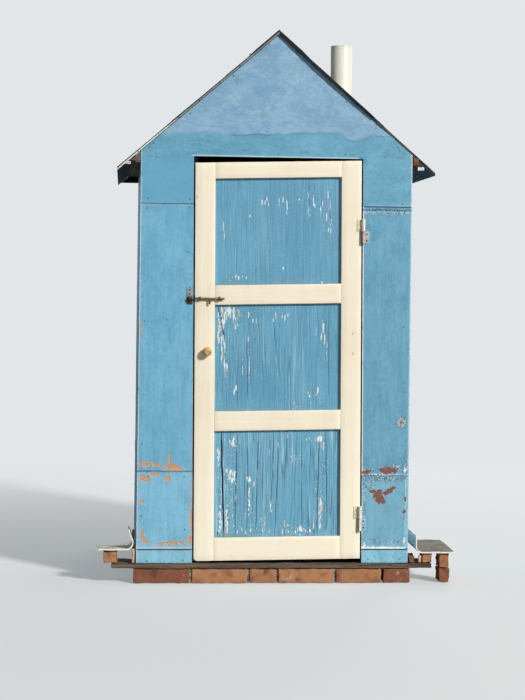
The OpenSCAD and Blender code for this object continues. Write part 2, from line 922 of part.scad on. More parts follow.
// The rod and the handle that hangs from it
module bolt_rod() {
    color("#6c6238")
        union() {
            translate([bolt_tip, bolt_y, bolt_z])
                rotate([0, 90, 0])
                    cylinder(h = bolt_len, r = bolt_r, $fn = 48);
            translate([bolt_tip + bolt_len / 2, bolt_y, bolt_z - bolt_handle])
                cylinder(h = bolt_handle, r = handle_r, $fn = 32);
        }
}

footing_front();
footing_rear();
footing_sides();
sill_front();
sill_rear();
sill_sides();
floor_rails();
floor_rail_rear();
floor_joists();
front_noggins();
floor_boards();
corner_posts();
door_post_latch();
door_post_hinge();
tie_beams();
wall_plates();
wall_battens();
rafters();
ridge_beam();
eave_fillet_left();
eave_fillet_right();
gable_sheet_front();
front_sheet_left();
front_sheet_right();
lower_sheet_left();
lower_sheet_right();
plinth_strips();
side_sheets_left();
side_sheets_right();
rear_sheets();
roof_board_left();
roof_board_right();
roof_felt_left();
roof_felt_right();
ridge_felt();
vent_pipe();
pipe_clamps();
apron_left();
apron_right();
apron_packing();
door_boards();
door_stile_latch();
door_stile_hinge();
door_rails();
door_knob();
hinge_wall_leaves();
hinge_door_leaves();
bolt_staples();
bolt_keeper();
bolt_rod();
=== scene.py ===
# A village outhouse of painted hardboard on a timber frame, finished piece by piece around its frame.
# Metres. The front faces -Y, the door hangs on the right, and each piece lies where the frame has it.
import math
import random

import bmesh
import bpy
from mathutils import Matrix, Vector, noise


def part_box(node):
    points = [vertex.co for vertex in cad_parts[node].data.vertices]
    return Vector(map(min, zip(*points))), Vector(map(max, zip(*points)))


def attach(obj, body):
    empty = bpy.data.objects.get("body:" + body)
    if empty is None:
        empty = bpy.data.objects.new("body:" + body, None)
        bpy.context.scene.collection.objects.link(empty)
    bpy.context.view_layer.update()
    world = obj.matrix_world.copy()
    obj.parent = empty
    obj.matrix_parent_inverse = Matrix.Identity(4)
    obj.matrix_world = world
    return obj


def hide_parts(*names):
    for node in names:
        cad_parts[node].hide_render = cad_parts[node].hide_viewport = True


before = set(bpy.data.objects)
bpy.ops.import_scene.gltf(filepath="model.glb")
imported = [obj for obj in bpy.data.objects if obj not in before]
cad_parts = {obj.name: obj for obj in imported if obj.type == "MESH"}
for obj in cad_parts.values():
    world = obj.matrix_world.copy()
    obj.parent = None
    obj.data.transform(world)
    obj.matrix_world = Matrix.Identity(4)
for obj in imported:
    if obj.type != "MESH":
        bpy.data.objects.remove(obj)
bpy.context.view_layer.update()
scene = bpy.context.scene
scene.view_settings.view_transform = "Standard"

# The view: a level camera at eye height, 7.5 m in front of the door and to its left, turned a
# little to the right and tipped by 0.7 degrees. The horizon lies over the middle of the picture,
# which a small shift of the lens gives, so that the upright edges stay parallel.
camera_stand = Vector((-0.68, -7.5, 1.362))
camera_yaw = -0.0823
camera_roll = 0.0125
image_height = 700
focal_pixels = 1683.5
horizon_over_middle = 71.45
lens = bpy.data.cameras.new("view")
lens.lens = focal_pixels * lens.sensor_width / image_height
lens.shift_y = -horizon_over_middle / image_height
camera = bpy.data.objects.new("view", lens)
camera_turn = Matrix.Rotation(camera_yaw, 4, "Z") @ Matrix.Rotation(math.pi / 2, 4, "X")
camera.matrix_world = Matrix.Translation(camera_stand) @ camera_turn @ Matrix.Rotation(camera_roll, 4, "Z")
scene.collection.objects.link(camera)
bpy.context.scene.camera = camera

# The lamps: one softbox far off in front on the right, which lights the whole front evenly and draws
# a short shadow along its edges, and two weak ones that keep the left side and the back readable.
light_aim = Vector((0, 0.4, 1.2))


def softbox(name, place, size, watts, tint):
    light = bpy.data.lights.new(name, "AREA")
    light.size = size
    light.energy = watts
    light.color = tint
    lamp = bpy.data.objects.new(name, light)
    aim = (light_aim - Vector(place)).to_track_quat("-Z", "Y").to_matrix().to_4x4()
    lamp.matrix_world = Matrix.Translation(place) @ aim
    scene.collection.objects.link(lamp)


softbox("key_softbox", (31, -34.6, 27), 5.9, 35300, (1, 0.98, 0.955))
softbox("left_softbox", (-6.5, -1.5, 3.5), 4, 20, (0.62, 0.84, 1))
softbox("rear_softbox", (2.5, 7.5, 4.5), 4, 260, (1, 0.98, 0.95))


# The floor and the room: a pale level floor that takes the shadow and fades into an even background.
# The camera sees it pale, and for the light it is darker, so that it sends little back up.
class Term:
    """A shader socket as a number in an expression: each operator adds its Math node."""

    def __init__(self, finish, socket):
        self.finish = finish
        self.socket = socket

    def math(self, operation, first, second):
        return self.finish.node("ShaderNodeMath", {"operation": operation}, {0: first, 1: second})

    def __add__(self, other):
        return self.math("ADD", self, other)

    def __sub__(self, other):
        return self.math("SUBTRACT", self, other)

    def __rsub__(self, other):
        return self.math("SUBTRACT", other, self)

    def __mul__(self, other):
        return self.math("MULTIPLY", self, other)

    def __truediv__(self, other):
        return self.math("DIVIDE", self, other)

    __radd__ = __add__

    def least(self, other):
        return self.math("MINIMUM", self, other)

    def most(self, other):
        return self.math("MAXIMUM", self, other)

    def size(self):
        return self.finish.node("ShaderNodeMath", {"operation": "ABSOLUTE"}, {0: self})

    def step(self, low, high):
        """0 below low and 1 above high, with a smooth rise between them."""
        values = {0: self, 1: low, 2: high, 3: 0.0, 4: 1.0}
        return self.finish.node("ShaderNodeMapRange", {"interpolation_type": "SMOOTHSTEP"}, values)

    def also(self, name):
        """Another output of the same node."""
        return Term(self.finish, self.socket.node.outputs[name])


class Finish:
    """The node tree of a material or of the world."""

    def __init__(self, owner):
        self.owner = owner
        owner.use_nodes = True
        self.tree = owner.node_tree
        self.tree.nodes.clear()
        self.place = self.node("ShaderNodeTexCoord").also("Object")

    def node(self, kind, settings=None, values=None, out=0):
        """Adds a node: its settings first, then the values or links of its sockets."""
        item = self.tree.nodes.new(kind)
        for key, value in (settings or {}).items():
            setattr(item, key, value)
        for key, value in (values or {}).items():
            if isinstance(value, Term):
                self.tree.links.new(value.socket, item.inputs[key])
            else:
                item.inputs[key].default_value = value
        return Term(self, item.outputs[out]) if item.outputs else None

    def spread(self, factors, shift=(0, 0, 0)):
        """The place on the piece, stretched by a factor along each axis."""
        values = {0: self.place, 1: factors, 2: shift}
        return self.node("ShaderNodeVectorMath", {"operation": "MULTIPLY_ADD"}, values)

    def noise(self, scale, detail=3.0, stretch=(1, 1, 1), warp=0.0, rough=0.55, shift=0.0):
        at = self.spread(stretch, (shift, shift, shift))
        values = {"Vector": at, "Scale": scale, "Detail": detail, "Roughness": rough, "Distortion": warp}
        return self.node("ShaderNodeTexNoise", {}, values)

    def cells(self, scale, stretch=(1, 1, 1)):
        return self.node("ShaderNodeTexVoronoi", {}, {"Vector": self.spread(stretch), "Scale": scale})

    def axis(self, name):
        return self.node("ShaderNodeSeparateXYZ", {}, {0: self.place}).also(name)

    def mix(self, mask, first, second):
        """The first colour where the mask is 0 and the second where it is 1."""
        return self.node("ShaderNodeMix", {"data_type": "RGBA"}, {0: mask, 6: first, 7: second}, out=2)

    def layers(self, colour, *coats):
        """Lays coats over a colour: each has what it follows, where that sets in and where it is
        full, how much of it shows, and its own colour."""
        for follows, low, high, share, shade in coats:
            colour = self.mix(follows.step(low, high) * share, colour, shade)
        return colour

    def surface(self, colour, rough=0.6, height=None, depth=0.001, metal=0.0):
        values = {"Base Color": colour, "Roughness": rough, "Metallic": metal}
        if height is not None:
            values["Normal"] = self.node("ShaderNodeBump", {}, {"Height": height, "Distance": depth})
        shader = self.node("ShaderNodeBsdfPrincipled", {}, values)
        self.node("ShaderNodeOutputMaterial", {}, {"Surface": shader})
        return self.owner


def new_finish(name):
    return Finish(bpy.data.materials.new(name))


def tone(red, green, blue):
    """A colour given in display values from 0 to 255."""
    parts = [value / 255 for value in (red, green, blue)]
    return (*[p / 12.92 if p <= 0.04045 else ((p + 0.055) / 1.055) ** 2.4 for p in parts], 1.0)


background = tone(226, 230, 233)
room_light = 0.2
room_tint = (0.86, 0.94, 1, 1)
floor_reach = 40
room = Finish(bpy.data.worlds.new("room"))
ray = room.node("ShaderNodeLightPath")
seen = ray.also("Is Camera Ray").most(ray.also("Is Glossy Ray")).most(ray.also("Is Transmission Ray"))
lit = room.node("ShaderNodeBackground", {}, {0: room_tint, 1: room_light})
pale = room.node("ShaderNodeBackground", {}, {0: background, 1: 1.0})
both = room.node("ShaderNodeMixShader", {}, {0: seen, 1: lit, 2: pale})
room.node("ShaderNodeOutputWorld", {}, {"Surface": both})
scene.world = room.owner

ground = new_finish("pale_floor")
ray = ground.node("ShaderNodeLightPath")
seen = ray.also("Is Camera Ray")
shown = ground.node("ShaderNodeBsdfDiffuse", {}, {0: tone(220, 221, 219)})
dull = ground.node("ShaderNodeBsdfDiffuse", {}, {0: tone(152, 155, 150)})
near = ground.node("ShaderNodeMixShader", {}, {0: seen, 1: dull, 2: shown})
far = ground.node("ShaderNodeEmission", {}, {0: background, 1: 1.0})
away = ground.node("ShaderNodeVectorMath", {"operation": "LENGTH"}, {0: ground.place}, out=1)
fade = (0.35 + away.step(1.2, 6.5) * 0.65) * seen
both = ground.node("ShaderNodeMixShader", {}, {0: fade, 1: near, 2: far})
ground.node("ShaderNodeOutputMaterial", {}, {"Surface": both})
bm = bmesh.new()
bmesh.ops.create_grid(bm, x_segments=1, y_segments=1, size=floor_reach)
floor_mesh = bpy.data.meshes.new("pale_floor")
bm.to_mesh(floor_mesh)
bm.free()
floor_mesh.materials.append(ground.owner)
floor = bpy.data.objects.new("pale_floor", floor_mesh)
scene.collection.objects.link(floor)


# The footing: one course of used bricks laid flat in a ring, with broken pieces to fill the gaps
# and lime mortar between them. Two bats end the front course on the right.
def corners(bm):
    places = [v.co for v in bm.verts]
    low = Vector([min(p[k] for p in places) for k in range(3)])
    high = Vector([max(p[k] for p in places) for k in range(3)])
    return low, high


def ease_edges(bm, offset, segments=2, angle=30):
    """Rounds the edges that are sharper than an angle."""
    sharp = [e for e in bm.edges if e.is_manifold and e.calc_face_angle() > math.radians(angle)]
    bmesh.ops.bevel(bm, geom=sharp, offset=offset, offset_type="OFFSET", segments=segments,
                    profile=0.5, affect="EDGES", material=-1, clamp_overlap=True)


def cut_along(bm, place, normal, clear_outer=False):
    """Cuts a mesh along a plane, and gives the edges and corners of the cut."""
    geom = bm.verts[:] + bm.edges[:] + bm.faces[:]
    return bmesh.ops.bisect_plane(bm, geom=geom, dist=1e-6, plane_co=place, plane_no=normal,
                                  clear_outer=clear_outer)["geom_cut"]


def cut_into_cells(bm, cell, axes="xyz"):
    """Cuts the faces into cells of about one size, so that they can bend and wear."""
    low, high = corners(bm)
    for k, axis in enumerate("xyz"):
        if axis not in axes:
            continue
        count = round((high[k] - low[k]) / cell)
        normal = Vector((0, 0, 0))
        normal[k] = 1
        for i in range(1, count):
            cut_along(bm, low.lerp(high, i / count), normal)


def wear_down(bm, amount, lump, seed=0):
    """Wears the surface down by up to an amount, in lumps of one size."""
    bm.normal_update()
    moves = []
    for v in bm.verts:
        level = noise.noise(v.co / lump + Vector((seed, seed, seed)))
        moves.append(v.normal * amount * (min(max(level, -0.5), 0.5) - 0.5))
    for v, move in zip(bm.verts, moves):
        v.co += move


def join(bm, part, shade=None):
    """Adds a part to a mesh, with its own shade in the attribute of that name."""
    start = len(bm.verts)
    loose = bpy.data.meshes.new("part")
    part.to_mesh(loose)
    part.free()
    bm.from_mesh(loose)
    bpy.data.meshes.remove(loose)
    if shade is not None:
        layer = bm.verts.layers.float.get("shade") or bm.verts.layers.float.new("shade")
        bm.verts.ensure_lookup_table()
        for v in bm.verts[start:]:
            v[layer] = shade


def worn_block(low, high, ease=0.002, cell=0.03, wear=0.001, lump=0.03, seed=0, surface=0):
    low, high = Vector(low), Vector(high)
    part = bmesh.new()
    matrix = Matrix.Translation((low + high) / 2) @ Matrix.Diagonal((*(high - low), 1))
    bmesh.ops.create_cube(part, size=1, matrix=matrix)
    ease_edges(part, ease)
    cut_into_cells(part, cell)
    wear_down(part, wear, lump, seed)
    for face in part.faces:
        face.material_index = surface
    return part


def show(name, bm, body, slot, *materials, replaces=(), sharp=25):
    """Makes a piece of a mesh: smooth up to an angle, with its materials and body. Its slot is not used."""
    mesh = bpy.data.meshes.new(name)
    bm.to_mesh(mesh)
    bm.free()
    for material in materials:
        mesh.materials.append(material)
    mesh.polygons.foreach_set("use_smooth", [True] * len(mesh.polygons))
    mesh.set_sharp_from_angle(angle=math.radians(sharp))
    piece = bpy.data.objects.new(name, mesh)
    scene.collection.objects.link(piece)
    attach(piece, body)
    if replaces:
        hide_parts(*replaces)
    return piece


brick_joint = 0.009
brick_ease = 0.004
brick_wear = 0.005
mortar_back = 0.010
brick_lengths = (0.25, 0.25, 0.12, 0.25, 0.19, 0.25, 0.08, 0.25)
end_bats = (0.077, 0.04)
end_bats_reach = 0.124
end_bats_joint = 0.008


def brick_finish():
    f = new_finish("old_brick")
    shade = f.node("ShaderNodeAttribute", {"attribute_name": "shade"}).also("Fac")
    fired = f.mix(shade.step(0.1, 0.9), tone(128, 76, 54), tone(170, 120, 82))
    clouds = f.noise(28, 4)
    fired = f.mix(clouds.step(0.45, 0.75) * 0.6, fired, tone(112, 58, 42))
    grit = f.noise(420, 2)
    fired = f.mix(grit.step(0.6, 0.75) * 0.5, fired, tone(214, 188, 150))
    lime = f.noise(16, 5, warp=0.6, shift=4).step(0.6, 0.72)
    fired = f.mix(lime * 0.75, fired, tone(178, 164, 142))
    soot = f.noise(11, 3, shift=9).step(0.56, 0.72)
    fired = f.mix(soot * 0.7, fired, tone(58, 46, 38))
    pits = f.cells(150).step(0.0, 0.35)
    return f.surface(fired, 0.92, pits * 0.5 + clouds * 2 + lime * 0.4 + grit * 0.3, 0.0016)


def mortar_finish():
    f = new_finish("lime_mortar")
    lumps = f.noise(60, 5)
    colour = f.mix(lumps.step(0.35, 0.65), tone(92, 78, 66), tone(168, 154, 134))
    return f.surface(colour, 0.95, lumps, 0.004)


brick = brick_finish()
mortar = mortar_finish()


def lay_course(bm, low, high, axis, lengths, rng):
    """Lays bricks in a row from low to high along an axis, the last one broken to fit."""
    place = low[axis]
    turn = 0
    while place < high[axis] - 0.02:
        reach = min(place + lengths[turn % len(lengths)], high[axis])
        if high[axis] - reach < 0.05:
            reach = high[axis]
        first, last = Vector(low), Vector(high)
        first[axis], last[axis] = place, reach
        side = 1 - axis
        first[side] += rng.uniform(0, 0.006)
        last[side] -= rng.uniform(0, 0.006)
        seed = rng.uniform(0, 90)
        block = worn_block(first, last, ease=brick_ease, cell=0.022, wear=brick_wear, lump=0.02, seed=seed)
        join(bm, block, rng.random())
        place = reach + brick_joint
        turn += 1
    inset = Vector((mortar_back, mortar_back, 0.003))
    bed = worn_block(low + inset, high - inset, ease=0.003, wear=0.004, lump=0.02, seed=3, surface=1)
    join(bm, bed, 0.5)


rng = random.Random(12)
bm = bmesh.new()
low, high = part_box("footing_front")
course_w = high.y - low.y
bats_x = high.x - end_bats_reach
lay_course(bm, low, Vector((bats_x - end_bats_joint, high.y, high.z)), 0, brick_lengths, rng)
lay_course(bm, Vector((bats_x, low.y, low.z)), high, 0, end_bats, rng)
low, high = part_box("footing_rear")
lay_course(bm, low, high, 0, brick_lengths[2:], rng)
low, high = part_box("footing_sides")
lay_course(bm, low, Vector((low.x + course_w, high.y, high.z)), 1, brick_lengths, rng)
lay_course(bm, Vector((high.x - course_w, low.y, low.z)), high, 1, brick_lengths[3:], rng)
show("brick_course", bm, "shed", "brick", brick, mortar,
     replaces=("footing_front", "footing_rear", "footing_sides"), sharp=60)


# The ground planks: thick planks, once painted brown, that lie on the bricks and carry the frame.
# Their ends are sawn rough and run out past the walls, and long cracks follow the grain.
def cad_copy(*nodes):
    """The solids of some nodes, merged, with their flat faces whole again."""
    bm = bmesh.new()
    for node in nodes:
        bm.from_mesh(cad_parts[node].data)
    bmesh.ops.remove_doubles(bm, verts=bm.verts[:], dist=1e-5)
    bmesh.ops.dissolve_limit(bm, angle_limit=math.radians(1), verts=bm.verts[:], edges=bm.edges[:])
    return bm


def worn_copy(*nodes, ease=0.0015, cell=0.05, axes="xyz", wear=0.001, lump=0.04, seed=0):
    bm = cad_copy(*nodes)
    ease_edges(bm, ease)
    cut_into_cells(bm, cell, axes)
    wear_down(bm, wear, lump, seed)
    return bm


def show_worn(name, node, slot, material, body="shed", **wear):
    """A piece that is its frame's solids with eased and worn edges."""
    return show(name, worn_copy(node, **wear), body, slot, material, replaces=(node,))


along_x = (0.06, 1, 1)
along_y = (1, 0.06, 1)
along_z = (1, 1, 0.06)


def times(shade, factor):
    """A colour made darker or lighter."""
    return (*[part * factor for part in shade[:3]], 1.0)


def wood_finish(name, dark, pale, along, crack=0.5):
    """Sawn softwood: long grain, growth rings, dark cracks and grey weathering."""
    f = new_finish(name)
    bands = f.noise(38, 3, along, warp=0.4)
    fibre = f.noise(260, 3, along)
    colour = f.mix(bands.step(0.35, 0.65), dark, pale)
    colour = f.mix(fibre.step(0.5, 0.7) * 0.45, colour, times(dark, 0.45))
    stain = f.noise(3.5, 4, shift=6)
    colour = f.mix(stain.step(0.5, 0.75) * 0.45, colour, times(dark, 0.6))
    splits = f.noise(75, 2, [part * 0.4 if part < 1 else 1 for part in along], shift=2)
    split = splits.step(0.5, 0.515) * splits.step(0.545, 0.53) * crack
    colour = f.mix(split, colour, tone(24, 18, 15))
    return f.surface(colour, 0.85, fibre * 0.35 + bands * 0.5 - split * 2, 0.0009)


sill_wood = wood_finish("brown_plank", tone(72, 58, 48), tone(112, 96, 80), along_x)
sill_wood_side = wood_finish("brown_plank_side", tone(72, 58, 48), tone(112, 96, 80), along_y)
show_worn("ground_plank_front", "sill_front", "sill_plank", sill_wood,
          ease=0.003, cell=0.03, wear=0.004, lump=0.05, seed=1)
show_worn("ground_plank_rear", "sill_rear", "sill_plank", sill_wood,
          ease=0.003, cell=0.04, wear=0.003, lump=0.05, seed=5)
show_worn("ground_planks_side", "sill_sides", "sill_plank", sill_wood_side,
          ease=0.003, cell=0.04, wear=0.003, lump=0.05, seed=9)

# The floor: unpainted boards across two joists and the side rails, worn in the middle and nailed
# through at each joist, with a hole sawn in the fifth and sixth.
floor_wood = wood_finish("floor_board", tone(128, 100, 72), tone(176, 148, 112), along_x)
show_worn("floor_planks", "floor_boards", "floor_plank", floor_wood,
          ease=0.002, cell=0.05, wear=0.003, lump=0.08, seed=4)


def round_head(bm, place, facing, radius, rise):
    """A low domed head, half sunk in what it holds."""
    turn = Vector((0, 0, 1)).rotation_difference(Vector(facing)).to_matrix().to_4x4()
    matrix = Matrix.Translation(place) @ turn @ Matrix.Diagonal((1, 1, rise / radius, 1))
    bmesh.ops.create_uvsphere(bm, u_segments=10, v_segments=6, radius=radius, matrix=matrix)


def iron_finish(name, dark, light, rough=0.75):
    """Iron that has rusted, with scaly patches of two tones."""
    f = new_finish(name)
    scale = f.noise(110, 5, warp=0.5)
    fine = f.noise(600, 3)
    colour = f.mix(scale.step(0.38, 0.62), dark, light)
    colour = f.mix(fine.step(0.55, 0.7) * 0.5, colour, tone(38, 24, 18))
    return f.surface(colour, rough, scale + fine * 0.4, 0.0006, 0.35)


nail_iron = iron_finish("nail_iron", tone(58, 40, 32), tone(112, 74, 52))
low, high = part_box("floor_boards")
joist_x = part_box("floor_joists")[1].x - 0.025
rail_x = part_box("floor_rails")[1].x - 0.025
board_d = (high.y - low.y + 0.003) / 8
bm = bmesh.new()
for i in range(8):
    for x in (-rail_x, -joist_x, joist_x, rail_x):
        for part in (0.25, 0.75):
            place = (x + rng.uniform(-0.006, 0.006), low.y + (i + part) * board_d, high.z - 0.001)
            round_head(bm, place, (0, 0, 1), 0.004, 0.0012)
show("floor_nails", bm, "shed", "bare_timber", nail_iron, sharp=60)

# The frame: 50 mm sawn softwood, never painted, nailed together. Posts, plates and beams stand
# behind the sheets and show inside the room and in the gaps round the door.
post_wood = wood_finish("post_wood", tone(122, 98, 74), tone(164, 138, 104), along_z)
rail_wood = wood_finish("rail_wood", tone(122, 98, 74), tone(164, 138, 104), along_y)
beam_wood = wood_finish("beam_wood", tone(122, 98, 74), tone(164, 138, 104), along_x)
door_side_wood = wood_finish("door_side_wood", tone(56, 44, 36), tone(84, 68, 54), along_z)
head_wood = wood_finish("head_wood", tone(56, 44, 36), tone(84, 68, 54), along_x)
frame_pieces = {
    "floor_rails": ("floor_side_rails", rail_wood), "floor_rail_rear": ("floor_rear_rail", beam_wood),
    "floor_joists": ("joists", rail_wood), "front_noggins": ("noggins", beam_wood),
    "corner_posts": ("posts", post_wood), "door_post_latch": ("latch_post", door_side_wood),
    "door_post_hinge": ("hinge_post", door_side_wood), "tie_beams": ("beams", head_wood),
    "wall_plates": ("plates", rail_wood), "wall_battens": ("battens", beam_wood),
    "rafters": ("rafter_pairs", beam_wood), "ridge_beam": ("ridge_piece", rail_wood),
}
for seed, (node, (name, wood)) in enumerate(frame_pieces.items()):
    show_worn(name, node, "bare_timber", wood,
              ease=0.0015, cell=0.06, wear=0.0008, lump=0.05, seed=seed * 7)


# The painted sheets: 5 mm hardboard, brushed with light blue oil paint many times over and nailed
# round the edges. The paint peels at the seams, and the lower edges bend away from the frame.
def smooth(value):
    value = min(max(value, 0), 1)
    return value * value * (3 - 2 * value)


def paint_layers(f, main, faded, dirt, stroke, brushed=0.26):
    """Brushed oil paint: soft clouds of two tones, brush marks and fine dirt. Colour and height."""
    pale = times(faded, 1.15)
    clouds = f.noise(4.5, 5, warp=0.5)
    marks = f.noise(42, 4, stroke, warp=0.4)
    strokes = f.noise(125, 3, stroke, warp=0.3, shift=2)
    hairs = f.noise(260, 2, stroke)
    mottle = f.noise(52, 5, warp=0.6, shift=3)
    patches = f.noise(15, 4, (1, 1, 0.55) if stroke[2] < 1 else (0.45, 1, 1), warp=0.7, shift=1)
    weathered = f.axis("Z").step(1.6, 0.3) * 0.7
    colour = f.mix(clouds.step(0.38, 0.66), main, faded)
    colour = f.mix(weathered, colour, faded)
    colour = f.layers(
        colour, (patches, 0.5, 0.66, 0.4, pale), (patches, 0.5, 0.34, 0.4, dirt),
        (marks, 0.52, 0.66, brushed, pale), (marks, 0.48, 0.36, brushed, dirt),
        (strokes, 0.53, 0.66, brushed, pale), (strokes, 0.47, 0.36, brushed, dirt),
        (mottle, 0.53, 0.68, 0.4, dirt), (mottle, 0.46, 0.34, 0.35, pale), (hairs, 0.55, 0.72, 0.15, dirt))
    specks = f.cells(75).step(0.13, 0.05) * f.noise(9, 2, shift=7).step(0.52, 0.64)
    colour = f.mix(specks * 0.4, colour, tone(52, 92, 116))
    return colour, marks * 0.35 + strokes * 0.2 + hairs * 0.1 + mottle * 0.4


def warped(f, amount, scale):
    """The place on the piece, pushed about by noise so that outlines turn ragged."""
    values = {"Vector": f.place, "Scale": scale, "Detail": 5.0}
    push = f.node("ShaderNodeTexNoise", {}, values).also("Color")
    base = f.spread((1, 1, 1), (-amount / 2, -amount / 2, -amount / 2))
    values = {0: push, 1: (amount, amount, amount), 2: base}
    return f.node("ShaderNodeVectorMath", {"operation": "MULTIPLY_ADD"}, values)


def spots(f, at, places):
    """1 in the middle of each spot and 0 at its edge; a spot is its x, z and half sizes in mm."""
    nearest = None
    for x, z, half_x, half_z in places:
        factors = (1000 / half_x, 0, 1000 / half_z)
        shift = (-x / half_x, 0, -z / half_z)
        away = f.node("ShaderNodeVectorMath", {"operation": "MULTIPLY_ADD"}, {0: at, 1: factors, 2: shift})
        reach = f.node("ShaderNodeVectorMath", {"operation": "LENGTH"}, {0: away}, out=1)
        nearest = reach if nearest is None else nearest.least(reach)
    return 1 - nearest


def torn(f, strength):
    """Noise round 0 that tears the outline of a patch."""
    coarse = f.noise(62, 5, (0.7, 1, 1), warp=0.6, rough=0.65, shift=5)
    fine = f.noise(230, 4, (0.8, 1, 1), rough=0.6, shift=2)
    return (coarse - 0.5) * strength * 3.2 + (fine - 0.5) * strength * 1.6


def peel(f, colour, height, inside, mask, feather, lip, lip_share, share=1.0):
    """Lets a deeper layer show where the mask is over 0, inside a thin torn lip."""
    bare = mask.step(0.0, feather)
    rim = mask.step(-0.16, -0.02) - mask.step(-0.02, 0.03)
    colour = f.mix(rim * lip_share, colour, lip)
    return f.mix(bare * share, colour, inside), height - bare * 2.0


hardboard_bare = wood_finish("bare_hardboard", tone(112, 84, 60), tone(134, 104, 76), (1, 1, 1), 0)
fibre_tan = tone(214, 160, 108)
fibre_red = tone(132, 90, 74)
undercoat = tone(222, 230, 232)
speck_dark = tone(62, 84, 94)
lilac = tone(170, 180, 202)
gap_lean = -0.013 / 1.776


def edge_place(f, axis):
    """Object coordinate along an axis, or across the door's opening, which leans with the door."""
    return f.axis("X") - f.axis("Z") * gap_lean if axis == "gap" else f.axis(axis)


def worn_edges(f, colour, edges):
    """Paint rubbed off along edges: each has its axis, its place, how far the wear reaches, how
    much of it shows, and its colour."""
    crumb = f.noise(150, 4, (1, 1, 0.7), rough=0.58, shift=8)
    for axis, place, reach, share, worn in edges:
        near_edge = (1 - (edge_place(f, axis) - place).size() / reach).most(-1)
        bare = near_edge * 0.27 + crumb - 0.74
        rim = bare.step(-0.05, -0.015) - bare.step(-0.015, 0.02)
        colour = f.mix(rim * share * 0.45, colour, speck_dark)
        colour = f.mix(bare.step(0.0, 0.02) * share, colour, worn)
    return colour


def edge_lines(f, colour, lines):
    """Thin lines along edges: pale where bare fibre catches the light, and dark where shade is painted
    along a seam. Each has its axis, its place, half its width, how much of it shows, and its colour."""
    breaks = f.noise(26, 4, shift=6).step(0.3, 0.45)
    for axis, place, half, share, shade in lines:
        on = (edge_place(f, axis) - place).size().step(half, half * 0.6)
        colour = f.mix(on * breaks * share, colour, shade)
    return colour


def blue_finish(name, main, faded, dirt, stroke, peels=(), whites=(), cracks=(), inside=None, edges=(),
                lines=(), feather=0.06, bare_share=1.0, knocks=(), mottle=0.0):
    """The blue paint of one sheet, with the places in mm where it has come off."""
    f = new_finish(name)
    colour, height = paint_layers(f, main, faded, dirt, stroke)
    colour = edge_lines(f, colour, lines)
    colour = worn_edges(f, colour, edges)
    at = warped(f, 0.02, 34)
    if cracks:
        curls = f.node("ShaderNodeTexNoise", {}, {"Vector": at, "Scale": 62.0, "Detail": 4.0})
        zone = spots(f, at, cracks).step(0.0, 0.45)
        line = (curls - 0.5).size().step(0.035, 0.014) * zone
        pale = (curls - 0.56).size().step(0.028, 0.012) * zone
        colour = f.mix(pale * 0.55, colour, undercoat)
        colour = f.mix(line * 0.75, colour, speck_dark)
    if whites:
        mask = spots(f, at, whites) + torn(f, 1.6)
        colour, height = peel(f, colour, height, undercoat, mask, 0.06, speck_dark, 0.5)
    if peels:
        mask = spots(f, at, peels) + (0.1 + torn(f, 1.1) if feather > 0.2 else torn(f, 0.8))
        colour = f.mix(mask.step(-0.6, 0.1) * (0.38 if feather > 0.2 else 0.0), colour, inside)
        grain = f.mix(f.noise(300, 3).step(0.4, 0.6), inside, times(inside, 0.74))
        if mottle:
            damp = f.noise(120, 4, rough=0.62, shift=7).step(0.5, 0.6)
            grain = f.mix(damp * mottle, grain, times(inside, 0.3))
        colour, height = peel(f, colour, height, grain, mask, feather, undercoat, 0.4, bare_share)
    if knocks:
        ring = spots(f, warped(f, 0.01, 60), knocks) + (f.noise(120, 4, rough=0.62, shift=4) - 0.5) * 3.2
        colour = f.layers(
            colour, (ring, -0.25, 0.0, 0.75, speck_dark), (ring, 0.16, 0.24, 0.85, tone(198, 206, 208)),
            (ring, 0.5, 0.6, 0.9, tone(104, 84, 76)))
    shine = 0.42 + f.noise(140, 4, shift=5) * 0.2
    return f.surface(colour, shine, height, 0.0007)


rim_waver = 0.0006
noise.seed_set(21)  # noise_vector starts from the clock otherwise


def sheet(name, node, bend, paint, inward, slot, cell=0.025):
    """A sheet that follows its frame: bent outwards by bend(place), painted outside, bare inside."""
    bm = cad_copy(node)
    ease_edges(bm, 0.0007, 1)
    axes = "yz" if abs(inward[0]) else "xz"
    cut_into_cells(bm, cell, axes)
    foot = corners(bm)[0].z
    for rise in (0.002, 0.0045, 0.007, 0.01):
        cut_along(bm, (0, 0, foot + rise), (0, 0, 1))
    bm.normal_update()
    inward = Vector(inward)
    for face in bm.faces:
        face.material_index = 1 if face.normal.dot(inward) > 0.5 else 0
    for v in bm.verts:
        rim = noise.noise_vector(v.co * 30) * rim_waver
        v.co += rim - inward * rim.dot(inward) - inward * bend(v.co)
    show(name, bm, "shed", slot, paint, hardboard_bare, replaces=(node,))


def swell(place, low, high, amount, seed):
    """How far a sheet bulges between its nailed edges, in uneven waves."""
    across = max(0, math.sin(math.pi * min(max((place.x - low.x) / (high.x - low.x), 0), 1)))
    up = max(0, math.sin(math.pi * min(max((place.z - low.z) / (high.z - low.z), 0), 1)))
    wave = 0.5 + noise.noise(Vector((place.x * 4 + seed, place.z * 3, seed)))
    return amount * wave * (across * up) ** 1.6


def front_bend(node, amount, lip, seed):
    low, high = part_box(node)

    def bend(place):
        foot = smooth(1 - (place.z - low.z) / 0.01)
        return swell(place, low, high, amount, seed) + lip * foot
    return bend


upright = (1, 1, 0.07)
level = (0.09, 1, 1)
gable_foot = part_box("gable_sheet_front")[0].z
wall_half = 0.61
rim_x = wall_half - 0.002
repaint_line = 2.012
door_head_rim = 1.9075


